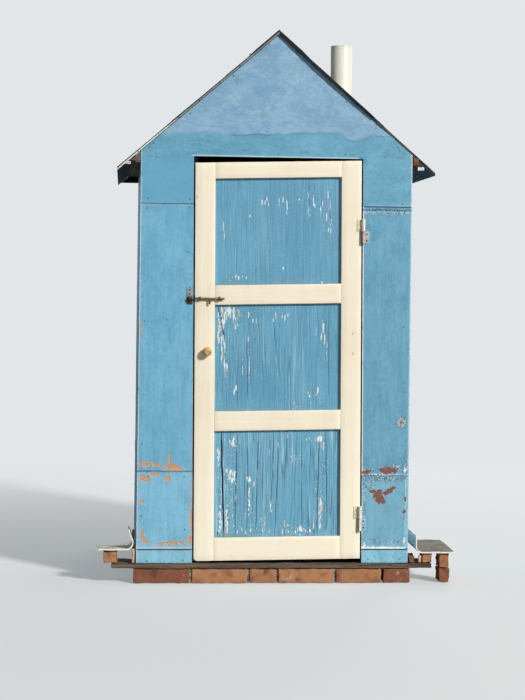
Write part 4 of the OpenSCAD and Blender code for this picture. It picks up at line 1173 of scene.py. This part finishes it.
# Where the paint has come off in sheets, runs in streaks, is thin, and flakes in crumbs: the x and z
# of each spot's middle and its half sizes, in mm.
torn_off = [
    (-236, 1196, 44, 62), (-186, 1200, 48, 48), (-178, 1160, 20, 40), (-244, 1110, 24, 80),
    (-232, 1030, 18, 90), (-220, 950, 14, 60), (-119, 1100, 9, 34), (-182, 632, 18, 30),
    (-187, 484, 22, 40), (-176, 462, 16, 30), (-204, 505, 12, 22), (-109, 462, 12, 18),
    (-7, 350, 7, 60), (75, 232, 10, 18), (124, 242, 22, 20), (100, 226, 18, 12), (150, 236, 10, 18),
    (216, 326, 10, 64), (214, 240, 8, 40), (206, 645, 18, 22), (222, 612, 8, 30), (-246, 572, 8, 46),
    (-235, 262, 9, 60), (-206, 250, 9, 50),
]
narrow_streaks = [
    (-66, 1704, 4, 18), (-52, 1700, 4, 22), (-44, 1716, 3, 12), (-36, 1694, 3, 16), (12, 1708, 4, 26),
    (28, 1716, 3, 18), (46, 1690, 4, 36), (99, 1718, 6, 8), (143, 1742, 4, 30), (146, 1676, 4, 34),
    (150, 1650, 3, 14), (166, 1714, 4, 26), (172, 1690, 3, 18), (200, 1676, 5, 26), (206, 1700, 3, 30),
    (232, 1740, 3, 50), (240, 1680, 3, 60), (236, 1586, 5, 12), (246, 1600, 3, 70), (226, 1640, 3, 30),
    (-119, 1643, 4, 9), (-238, 1590, 3, 26), (-232, 1552, 3, 22), (32, 1410, 6, 7), (222, 1387, 4, 8),
    (-193, 1366, 5, 10), (-180, 1372, 4, 8), (-166, 1362, 5, 9), (-150, 1370, 4, 8), (-132, 1366, 5, 9),
    (-206, 1352, 6, 6), (240, 1404, 3, 12), (208, 1350, 5, 6), (-120, 1200, 6, 20), (-100, 1176, 4, 22),
    (-84, 1168, 5, 16), (2, 1196, 4, 20), (-8, 1176, 4, 14), (30, 1192, 4, 18), (42, 1186, 5, 22),
    (56, 1200, 3, 12), (216, 1140, 6, 40), (210, 1106, 4, 24), (224, 1096, 5, 30), (235, 1040, 2.5, 60),
    (184, 1126, 3, 30), (-172, 872, 6, 20), (-180, 856, 4, 14), (152, 850, 5, 14), (160, 838, 4, 10),
    (196, 858, 6, 26), (188, 846, 4, 18), (90, 806, 5, 7), (104, 790, 4, 6), (-114, 960, 2.5, 110),
    (-145, 960, 2, 60), (61, 658, 4, 10), (148, 643, 4, 7), (160, 648, 3, 7), (172, 636, 3, 6),
    (100, 560, 4, 30), (-85, 447, 5, 16), (-72, 487, 3, 26), (-167, 382, 3, 26), (-109, 400, 4, 30),
    (-104, 350, 4, 20), (-157, 228, 5, 12), (-140, 240, 3, 14), (-120, 224, 5, 14), (-100, 232, 4, 20),
    (-36, 268, 3, 34), (-46, 236, 4, 14), (-16, 230, 4, 12), (55, 256, 4, 26), (44, 232, 4, 12),
    (184, 250, 4, 30), (196, 300, 3, 20), (168, 232, 5, 10), (-222, 640, 4, 12), (-160, 600, 3, 16),
    (20, 620, 3, 20),
]
thin_paint = [
    (-205, 420, 80, 290), (-110, 260, 130, 90), (100, 240, 150, 60), (215, 440, 50, 260),
    (60, 1700, 220, 70), (-180, 1372, 100, 40), (-120, 1215, 150, 40), (-236, 1050, 40, 160),
    (230, 1600, 34, 200), (20, 680, 260, 24), (100, 560, 50, 60), (210, 620, 50, 50),
]
flakes = [
    (-182, 632, 18, 28), (-190, 492, 22, 32), (-178, 462, 16, 26), (-109, 462, 12, 14),
    (124, 242, 20, 16), (206, 645, 16, 20), (-206, 1212, 30, 26), (-240, 1170, 16, 60),
    (-84, 447, 9, 14), (-208, 280, 8, 90), (-238, 280, 6, 80), (214, 330, 9, 80), (-109, 350, 5, 60),
    (-246, 570, 8, 50),
]
panel_feet = (1.331, 0.767, 0.2)


def board_paint():
    f = new_finish("door_board_paint")
    z = f.axis("Z")
    fibre = (1, 1, 0.035)
    clouds = f.noise(6, 4, (1, 1, 0.5), warp=0.4)
    streak = f.noise(165, 4, (1, 1, 0.03), warp=0.25)
    hair = f.noise(340, 3, fibre)
    lower = z.step(1.35, 0.5)
    colour = f.mix(clouds.step(0.38, 0.64), tone(85, 146, 175), tone(95, 156, 185))
    colour = f.layers(
        colour, (z, 0.85, 0.7, 0.9, tone(102, 164, 191)), (streak, 0.52, 0.66, 0.3, tone(124, 177, 203)),
        (streak, 0.48, 0.36, 0.3, tone(72, 128, 158)), (hair, 0.54, 0.7, 0.3, tone(66, 116, 146)))
    ridged = f.noise(34, 2, (1, 1, 0.018), warp=0.08, shift=5)
    rippled = f.noise(88, 2, (1, 1, 0.025), warp=0.1, shift=7)
    breaks = f.noise(7, 3, (1, 1, 0.6), shift=9).step(0.4, 0.56)
    strong = (lower * 0.7 + 0.2) * breaks
    # Thin lines along the grain where the paint has ridged and cracked: the pale ones are painted highlight
    # on the ridges, the dark ones painted shade in the cracks beside them.
    for crest, level_at, low, high, share, shade in (
            (rippled, 0.535, 0.04, 0.01, 0.7, tone(146, 192, 212)),
            (rippled, 0.48, 0.035, 0.01, 0.7, tone(58, 108, 136)),
            (ridged, 0.525, 0.016, 0.006, 0.8, tone(158, 202, 220)),
            (ridged, 0.5, 0.012, 0.004, 0.8, tone(48, 92, 118))):
        colour = f.mix((crest - level_at).size().step(low, high) * strong * share, colour, shade)
    speck = f.noise(260, 4, (1, 1, 0.6), rough=0.65, shift=6)
    colour = f.layers(
        colour, (speck, 0.57, 0.67, 0.5, tone(56, 98, 122)), (speck, 0.43, 0.33, 0.5, tone(160, 198, 216)))
    depth = f.axis("Y") - board_y0
    # Painted light from the boards' relief: the highest parts are lighter, as highlight, and the grooves
    # darker, as shade.
    colour = f.mix(depth.step(0.0008, 0.0003) * 0.35, colour, tone(148, 194, 214))
    colour = f.mix(depth.step(0.0013, 0.0024) * (lower * 0.55 + 0.2), colour, tone(40, 80, 106))
    at = warped(f, 0.016, 40)
    heavy = spots(f, at, torn_off)
    thin_at = warped(f, 0.005, 60)
    streaks = spots(f, thin_at, narrow_streaks)
    thin = spots(f, at, thin_paint)
    sliver = f.noise(175, 4, (1, 1, 0.13), warp=0.2, rough=0.6, shift=2)
    crumbs = f.noise(240, 3, (1, 1, 0.4), rough=0.55, shift=8)
    mask = sliver - 0.8 + heavy.step(0.0, 0.5) * 0.31
    mask = mask.most((streaks - 0.3 + (sliver - 0.5) * 2.6 + (crumbs - 0.5) * 2.2) * 0.12)
    flaked = spots(f, at, flakes)
    mask = mask.most((flaked - 0.35 + (crumbs - 0.5) * 4.2 + (sliver - 0.5) * 2.6) * 0.12)
    mask = mask.most(crumbs - 0.78 + thin.step(0.0, 0.6) * 0.12 + lower * 0.04)
    bare = mask.step(0.0, 0.02)
    rim = mask.step(-0.03, -0.006) - bare
    colour = f.mix(rim * 0.25, colour, tone(56, 100, 126))
    tanned = f.noise(70, 3, (1, 1, 0.2), shift=4).step(0.47, 0.62) * z.step(1.34, 1.3)
    wood = f.mix(tanned, tone(232, 242, 246), tone(218, 202, 176))
    colour = f.mix(bare * (lower * 0.14 + 0.78), colour, wood)
    # Deep in the cracks the colour goes near-black: painted shade.
    colour = f.mix(depth.step(0.0034, 0.0065) * 0.85, colour, tone(24, 38, 48))
    grime = (f.noise(40, 4, (0.4, 1, 1), shift=6) - 0.42) * 0.1
    for foot in panel_feet:
        corner = (z - foot - grime).step(0.02, 0.002) * (z - foot).step(-0.02, -0.01)
        colour = f.mix(corner * 0.3, colour, tone(112, 128, 132))
    green = spots(f, at, [(-170, 206, 90, 8)]) + (f.noise(120, 3, shift=1) - 0.5) * 3
    colour = f.mix(green.step(0, 0.4) * 0.5, colour, tone(84, 138, 112))
    height = streak * 0.4 + hair * 0.3 - bare * 1.0 + speck * 0.3 + ridged.size() * strong
    return f.surface(colour, 0.5 + bare * 0.3, height, 0.0009)


board_columns = 430
board_rows = 105
bm = bmesh.new()
bmesh.ops.create_grid(bm, x_segments=board_columns, y_segments=board_rows, size=0.5)
rim = [e for e in bm.edges if e.is_boundary]
back = bmesh.ops.extrude_edge_only(bm, edges=rim)["geom"]
back_verts = {v for v in back if isinstance(v, bmesh.types.BMVert)}
back_edges = [e for e in back if isinstance(e, bmesh.types.BMEdge)]
for v in bm.verts:
    place = leaf_place(v.co.x + 0.5, v.co.y + 0.5)
    if v in back_verts:
        v.co = (place.x, board_y1, place.z)
    else:
        v.co = (place.x, board_y0 + board_depth(place), place.z)
bmesh.ops.contextual_create(bm, geom=back_edges)
bmesh.ops.recalc_face_normals(bm, faces=bm.faces[:])
bm.normal_update()
for face in bm.faces:
    face.material_index = 1 if face.normal.y > 0.5 else 0
board_back = wood_finish("door_board_back", tone(128, 104, 80), tone(168, 142, 110), along_z)
show("door_planks", bm, "door", "door_blue", board_paint(), board_back, replaces=("door_boards",), sharp=60)


# The door's frame: planed boards planted on the front, two stiles and four rails, in cream paint
# that has filled their joints here and there. The foot of the latch stile is rounded by wear.
def cream_finish(name, stroke):
    f = new_finish(name)
    clouds = f.noise(5, 4, warp=0.4)
    brush = f.noise(70, 3, stroke, warp=0.2)
    hair = f.noise(260, 3, stroke)
    colour = f.mix(clouds.step(0.38, 0.66), tone(237, 226, 203), tone(232, 219, 196))
    # Painted light: the lower part is made lighter, to even out the lamp's light, which falls brighter on
    # the top.
    colour = f.layers(
        colour, (f.axis("Z"), 1.0, 0.2, 0.7, tone(248, 238, 216)),
        (brush, 0.46, 0.7, 0.5, tone(243, 236, 216)), (hair, 0.56, 0.78, 0.3, tone(216, 200, 176)))
    grime = f.noise(20, 5, warp=0.5, shift=5).step(0.6, 0.78)
    colour = f.mix(grime * 0.35, colour, tone(216, 208, 190))
    dots = f.cells(60).step(0.09, 0.03) * f.noise(6, 2, shift=3).step(0.52, 0.6)
    colour = f.mix(dots * 0.5, colour, tone(150, 132, 108))
    at = warped(f, 0.012, 60)
    marks = spots(f, at, [(348, 1120, 4, 6), (351, 1029, 3, 9), (-358, 1722, 4, 8)])
    colour = f.mix(marks.step(0, 0.4) * 0.7, colour, tone(148, 124, 98))
    return f.surface(colour, 0.45, brush * 0.6 + hair * 0.4 + clouds * 0.5, 0.0005)


cream_up = cream_finish("cream_stile", (1, 1, 0.05))
cream_across = cream_finish("cream_rail", (0.05, 1, 1))
for node, name, seed in (("door_stile_latch", "latch_stile", 2), ("door_stile_hinge", "hinge_stile", 4)):
    bm = cad_copy(node)
    if node == "door_stile_latch":
        near = {v for v in bm.verts if math.hypot(v.co.x - leaf_low_l.x, v.co.z - leaf_low_l.z) < 0.004}
        foot = [e for e in bm.edges if near.issuperset(e.verts)]
        bmesh.ops.bevel(bm, geom=foot, offset=0.016, offset_type="OFFSET", segments=5, profile=0.5,
                        affect="EDGES", material=-1)
    ease_edges(bm, 0.0008)
    cut_into_cells(bm, 0.03, "xz")
    wear_down(bm, 0.0006, 0.05, seed)
    show(name, bm, "door", "door_cream", cream_up, replaces=(node,))
show_worn("door_cross_rails", "door_rails", "door_cream", cream_across, body="door",
          ease=0.0008, cell=0.03, axes="xz", wear=0.0006, lump=0.05, seed=8)


# The knob: turned birch, never painted, darkened by hands. One screw from inside holds it.
def show_eased(name, node, body, slot, material, ease, angle=30, sharp=25):
    """A piece that is its frame's solids with two-step rounded edges."""
    bm = cad_copy(node)
    ease_edges(bm, ease, 2, angle)
    return show(name, bm, body, slot, material, replaces=(node,), sharp=sharp)


knob_finish = new_finish("knob_wood")
rings = knob_finish.noise(130, 3, (1, 0.15, 1), warp=0.5)
worn = knob_finish.noise(40, 3)
knob_tone = knob_finish.mix(rings.step(0.4, 0.65), tone(212, 172, 112), tone(178, 132, 76))
knob_tone = knob_finish.mix(worn.step(0.5, 0.75) * 0.5, knob_tone, tone(132, 96, 58))
knob_finish = knob_finish.surface(knob_tone, 0.5, rings, 0.0005)
show_eased("turned_knob", "door_knob", "door", "knob_wood", knob_finish, 0.0012, angle=40)


# The hinges: lift-off hinges of pressed steel. Their door halves and all of the lower one were
# painted over with the frame, and the upper wall half has rusted. Two screws hold each leaf.
def hinge_finish(name, paint_tones, rust_from, split=None):
    """Paint over steel, rusting through at the edges. Right of a split the leaf is mottled with the blue of
    the wall, and its knuckle on the left is worn to a dull pink. Down the left side of each knuckle runs a
    dark line of painted shade, reddened with rust on the upper one."""
    f = new_finish(name)
    scale = f.noise(120, 5, warp=0.6)
    fine = f.noise(420, 4, rough=0.6)
    colour = f.mix(scale.step(0.4, 0.62), tone(*paint_tones[0]), tone(*paint_tones[1]))
    if split:
        upper = f.axis("Z").step(1.0, 1.01)
        leaf = f.mix(fine.step(0.5, 0.62), tone(168, 184, 192), tone(78, 62, 56))
        knuckle = f.mix(scale.step(0.45, 0.6), tone(204, 180, 158), tone(176, 138, 116))
        knuckle = f.mix(f.axis("X").step(split - 0.0085, split - 0.0115) * 0.85, knuckle, tone(92, 50, 38))
        right_of = f.axis("X").step(split - 0.001, split + 0.001)
        lower_leaf = f.mix(fine.step(0.54, 0.66), tone(142, 186, 204), tone(96, 92, 88))
        colour = f.mix(right_of, colour, lower_leaf)
        colour = f.mix(f.axis("X").step(split - 0.0095, split - 0.012) * 0.85, colour, tone(62, 54, 48))
        colour = f.mix(upper, colour, f.mix(right_of, knuckle, leaf))
    rust = f.mix(fine.step(0.4, 0.62), tone(150, 104, 80), tone(92, 60, 46))
    show_rust = (scale * 0.7 + fine * 0.3).step(rust_from, rust_from + 0.05)
    colour = f.mix(show_rust * 0.8, colour, rust)
    return f.surface(colour, 0.6, scale + fine * 0.3 - show_rust * 0.4, 0.0006)


slot_half = 0.0005
slot_deep = 0.0009


def screw(bm, place, facing, radius, turn):
    """A flat screw head with its slot."""
    part = bmesh.new()
    bmesh.ops.create_cone(part, cap_ends=True, cap_tris=False, segments=16, radius1=radius,
                          radius2=radius * 0.8, depth=0.0016)
    across = Vector((math.cos(turn), math.sin(turn), 0))
    for edge in (-slot_half, slot_half):
        cut_along(part, across * edge, across)
    part.normal_update()
    upper = [face for face in part.faces if face.normal.z > 0.9]
    slot = [face for face in upper if abs(face.calc_center_median().dot(across)) < slot_half * 0.8]
    cut = bmesh.ops.extrude_face_region(part, geom=slot)["geom"]
    moved = [g for g in cut if isinstance(g, bmesh.types.BMVert)]
    bmesh.ops.translate(part, vec=(0, 0, -slot_deep), verts=moved)
    bmesh.ops.delete(part, geom=slot, context="FACES_ONLY")
    turned = Vector((0, 0, 1)).rotation_difference(Vector(facing)).to_matrix().to_4x4()
    bmesh.ops.transform(part, verts=part.verts[:], matrix=Matrix.Translation(place) @ turned)
    join(bm, part)


cream_pair = ((234, 223, 200), (216, 202, 178))
knuckle_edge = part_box("hinge_wall_leaves")[0].x + 0.0135
wall_leaf_iron = hinge_finish("wall_leaf_iron", cream_pair, 0.56, knuckle_edge)
door_leaf_iron = hinge_finish("door_leaf_iron", cream_pair, 0.58)
show_eased("wall_hinge_halves", "hinge_wall_leaves", "shed", "rusty_iron", wall_leaf_iron, 0.0005)
show_eased("door_hinge_halves", "hinge_door_leaves", "door", "painted_iron", door_leaf_iron, 0.0005)
hinges_apart = 1.29
wall_screws = bmesh.new()
door_screws = bmesh.new()
wall_leaf_low, wall_leaf_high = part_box("hinge_wall_leaves")
door_leaf_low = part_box("hinge_door_leaves")[0]
for screws, x, foot in ((wall_screws, wall_leaf_high.x - 0.011, wall_leaf_low.z),
                        (door_screws, door_leaf_low.x + 0.011, door_leaf_low.z)):
    for rise in (0.013, 0.042, hinges_apart + 0.013, hinges_apart + 0.042):
        screw(screws, (x, -0.0024, foot + rise), (0, -1, 0), 0.0042, rng.uniform(0, 3))
show("wall_hinge_screws", wall_screws, "shed", "rusty_iron", nail_iron)
show("door_hinge_screws", door_screws, "door", "painted_iron", door_leaf_iron)

# The latch: a twisted iron rod that slides in two staples on the door, with a short handle bent
# down from it, and a rusty keeper on the wall beside the gap.
bolt_finish = iron_finish("bolt_brass_rust", tone(84, 72, 40), tone(138, 122, 72), 0.55)
staple_finish = iron_finish("staple_rust", tone(70, 58, 46), tone(122, 100, 76))
keeper_finish = new_finish("keeper_rust")
scale = keeper_finish.noise(150, 5, warp=0.6)
grain = keeper_finish.noise(520, 3)
keeper_mid = (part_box("bolt_keeper")[0].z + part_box("bolt_keeper")[1].z) / 2
iron = keeper_finish.mix(scale.step(0.42, 0.6), tone(46, 34, 28), tone(92, 70, 54))
paint_left = keeper_finish.mix(grain.step(0.4, 0.6), tone(124, 166, 184), tone(150, 150, 142))
flaked = (scale - 0.5) * 2.4 + (keeper_finish.axis("Z") - keeper_mid + 0.002) * 42
keeper_tone = keeper_finish.mix(flaked.step(0.0, 0.3) * 0.85, iron, paint_left)
keeper_finish = keeper_finish.surface(keeper_tone, 0.7, scale + grain * 0.4, 0.0008, 0.3)
rod_low, rod_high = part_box("bolt_rod")
rod_r = (rod_high.y - rod_low.y) / 2
rod_axis = Vector((0, rod_low.y + rod_r, rod_high.z - rod_r))
bm = cad_copy("bolt_rod")
ease_edges(bm, 0.0008, 2)
cut_into_cells(bm, 0.002, "x")
for v in bm.verts:
    arm = Vector((0, v.co.y, v.co.z)) - rod_axis
    if arm.length > rod_r * 0.6 and v.co.z > rod_axis.z - rod_r * 1.05:
        turn = math.atan2(arm.z, arm.y) * 2 + v.co.x * 520
        v.co -= arm.normalized() * 0.0011 * (0.5 + 0.5 * math.cos(turn))
show("sliding_bolt", bm, "bolt", "bolt_iron", bolt_finish, replaces=("bolt_rod",))
show_eased("door_staples", "bolt_staples", "door", "rusty_iron", staple_finish, 0.0007)
show_eased("wall_keeper", "bolt_keeper", "shed", "rusty_iron", keeper_finish, 0.0008)
keeper_low, keeper_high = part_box("bolt_keeper")
bm = bmesh.new()
for z in (keeper_low.z + 0.008, keeper_high.z - 0.01, keeper_high.z - 0.028):
    screw(bm, ((keeper_low.x + keeper_high.x) / 2, -0.0034, z), (0, -1, 0), 0.004, rng.uniform(0, 3))
show("keeper_screws", bm, "shed", "rusty_iron", nail_iron)

# The vent pipe: a grey-white plastic drain pipe behind the rear wall, chalky from the sun, with a
# faint seam along it and dirt that has run down from the rim. Two steel clamps hold it.
pipe = new_finish("pipe_plastic")
run = pipe.noise(45, 4, (1, 1, 0.05))
film = pipe.noise(5, 4, (1, 1, 0.6))
shell = pipe.mix(film.step(0.4, 0.66), tone(218, 217, 205), tone(206, 203, 188))
shell = pipe.mix(run.step(0.5, 0.72) * 0.4, shell, tone(190, 186, 168))
pipe_low, pipe_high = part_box("vent_pipe")
rim_dirt = (pipe.axis("Z") - (pipe_high.z - 0.03)) * 20 + (run - 0.5) * 3
shell = pipe.mix(rim_dirt.step(0, 1) * 0.4, shell, tone(168, 164, 148))
foot_dirt = (0.25 - pipe.axis("Z")) * 4 + (run - 0.5) * 2
shell = pipe.mix(foot_dirt.step(0, 1) * 0.5, shell, tone(150, 138, 116))
seam_x = (pipe_low.x + pipe_high.x) / 2 + 0.036
seam = (pipe.axis("X") - seam_x).size().step(0.0014, 0.0006) * pipe.axis("Y").step(1.29, 1.285)
shell = pipe.mix(seam * 0.45, shell, tone(150, 150, 142))
pipe = pipe.surface(shell, 0.55, run * 0.3 + seam, 0.0004)
show_eased("drain_pipe", "vent_pipe", "shed", "pipe_white", pipe, 0.001, angle=60, sharp=50)
zinc = new_finish("dull_zinc")
bloom = zinc.noise(60, 4)
zinc_tone = zinc.mix(bloom.step(0.4, 0.65), tone(150, 150, 146), tone(112, 108, 102))
zinc_tone = zinc.mix(zinc.noise(30, 4, shift=3).step(0.6, 0.7) * 0.7, zinc_tone, tone(120, 82, 56))
zinc = zinc.surface(zinc_tone, 0.5, bloom, 0.0004, 0.7)
show_eased("steel_clamps", "pipe_clamps", "shed", "clamp_steel", zinc, 0.0006, angle=50, sharp=50)


# The offcuts: pieces of old floor covering laid beside the foot of the side walls, on broken
# bricks, and curled up against the wall. The right one is grey and streaked, with a white core.
offcut_front = -0.008


def offcut_finish(name, dark, pale, core):
    f = new_finish(name)
    streak = f.noise(60, 5, (0.2, 0.8, 1), warp=1.2)
    lines = f.noise(150, 4, (0.12, 1, 1), warp=0.6, shift=3)
    fleck = f.noise(220, 4, (0.4, 1, 1))
    colour = f.mix(streak.step(0.4, 0.62), dark, pale)
    colour = f.layers(
        colour, (lines, 0.52, 0.62, 0.7, times(dark, 0.4)),
        (fleck, 0.52, 0.66, 0.7, tone(48, 43, 36)))
    cloud = f.noise(22, 4, shift=4)
    colour = f.mix(cloud.step(0.56, 0.7) * 0.3, colour, tone(160, 154, 142))
    edge = (f.axis("Y") - offcut_front - (cloud - 0.5) * 0.04).step(0.02, 0.008)
    colour = f.mix(edge * 0.95, colour, core)
    return f.surface(colour, 0.75, streak + lines * 0.5 + fleck * 0.4, 0.0012)


def backing_finish(name, main, worn):
    """The painted underside of an offcut, which shows where the offcut stands against the wall."""
    f = new_finish(name)
    cloud = f.noise(30, 5, (1, 0.5, 1), warp=0.6)
    colour = f.mix(cloud.step(0.45, 0.65), main, worn)
    colour = f.mix(f.noise(200, 4).step(0.58, 0.7) * 0.5, colour, tone(110, 112, 108))
    return f.surface(colour, 0.7, cloud, 0.0008)


for node, name, seed, finish, backing in (
        ("apron_right", "right_offcut", 3,
         offcut_finish("grey_offcut", tone(58, 50, 38), tone(112, 102, 82), tone(234, 230, 220)),
         # Its backing is painted near white and warm, paler than its own pale blue: painted light against
         # the shade and the blue light bounced from the wall.
         backing_finish("pale_blue_backing", tone(252, 249, 240), tone(238, 234, 226))),
        ("apron_left", "left_offcut", 8,
         offcut_finish("pale_offcut", tone(190, 184, 168), tone(214, 208, 194), tone(236, 232, 222)),
         backing_finish("grey_backing", tone(196, 192, 180), tone(164, 158, 146)))):
    bm = cad_copy(node)
    ease_edges(bm, 0.0008, 1)
    cut_into_cells(bm, 0.012, "xyz")
    wall_side = -1 if node == "apron_right" else 1
    bm.normal_update()
    for face in bm.faces:
        face.material_index = 1 if face.normal.x * wall_side > 0.35 or face.normal.z < -0.5 else 0
    for v in bm.verts:
        ripple = noise.noise(v.co * 14 + Vector((seed, 0, 0))) * 0.003 + noise.noise(v.co * 40) * 0.0012
        side = abs(v.co.x) - 0.68
        v.co.z += ripple if side > 0 else ripple * 0.3
        nibble = noise.noise(v.co * 55) * 0.004
        if v.co.y < 0:
            v.co.y += max(0, nibble)
    show(name, bm, "shed", "apron_sheet", finish, backing, replaces=(node,), sharp=35)

# The packing: broken bricks, worn round by rain, and two sticks of pale wood. They lie loose on the
# plank's ends and on the ground, and hold the offcuts up.
bat_wear = {"ease": 0.004, "cell": 0.012, "wear": 0.008, "lump": 0.022}
bat_shades = (0.9, 0.2, 0.85, 0.5)
bm = bmesh.new()
packing = cad_copy("apron_packing")
islands = []
left = set(packing.verts)
while left:
    found = {left.pop()}
    edge_of = list(found)
    while edge_of:
        v = edge_of.pop()
        for e in v.link_edges:
            other = e.other_vert(v)
            if other not in found:
                found.add(other)
                edge_of.append(other)
    left -= found
    islands.append(found)
islands.sort(key=lambda found: min(v.co.x for v in found))
for seed, found in enumerate(islands):
    low = Vector([min(v.co[k] for v in found) for k in range(3)])
    high = Vector([max(v.co[k] for v in found) for k in range(3)])
    shade = bat_shades[seed]
    if high.z - low.z > 0.1:
        bed = low.z + 0.066
        join(bm, worn_block(low, (high.x, high.y, bed), seed=seed * 5 + 3, **bat_wear), shade * 0.5)
        low = Vector((low.x, low.y, bed))
    join(bm, worn_block(low, high, seed=seed * 5 + 1, **bat_wear), shade)
packing.free()
show("broken_bricks", bm, "shed", "brick", brick, replaces=("apron_packing",), sharp=60)
stick_wood = wood_finish("stick_wood", tone(196, 150, 128), tone(222, 186, 164), along_z, 0.2)
bm = bmesh.new()
stick_wear = {"ease": 0.0015, "cell": 0.01, "wear": 0.002, "lump": 0.02}
join(bm, worn_block((-0.6285, 0.002, 0.0905), (-0.616, 0.04, 0.154), seed=4, **stick_wear))
join(bm, worn_block((0.660, 0.004, 0.0905), (0.673, 0.02, 0.122), seed=6, **stick_wear))
show("packing_sticks", bm, "shed", "sill_plank", stick_wood)
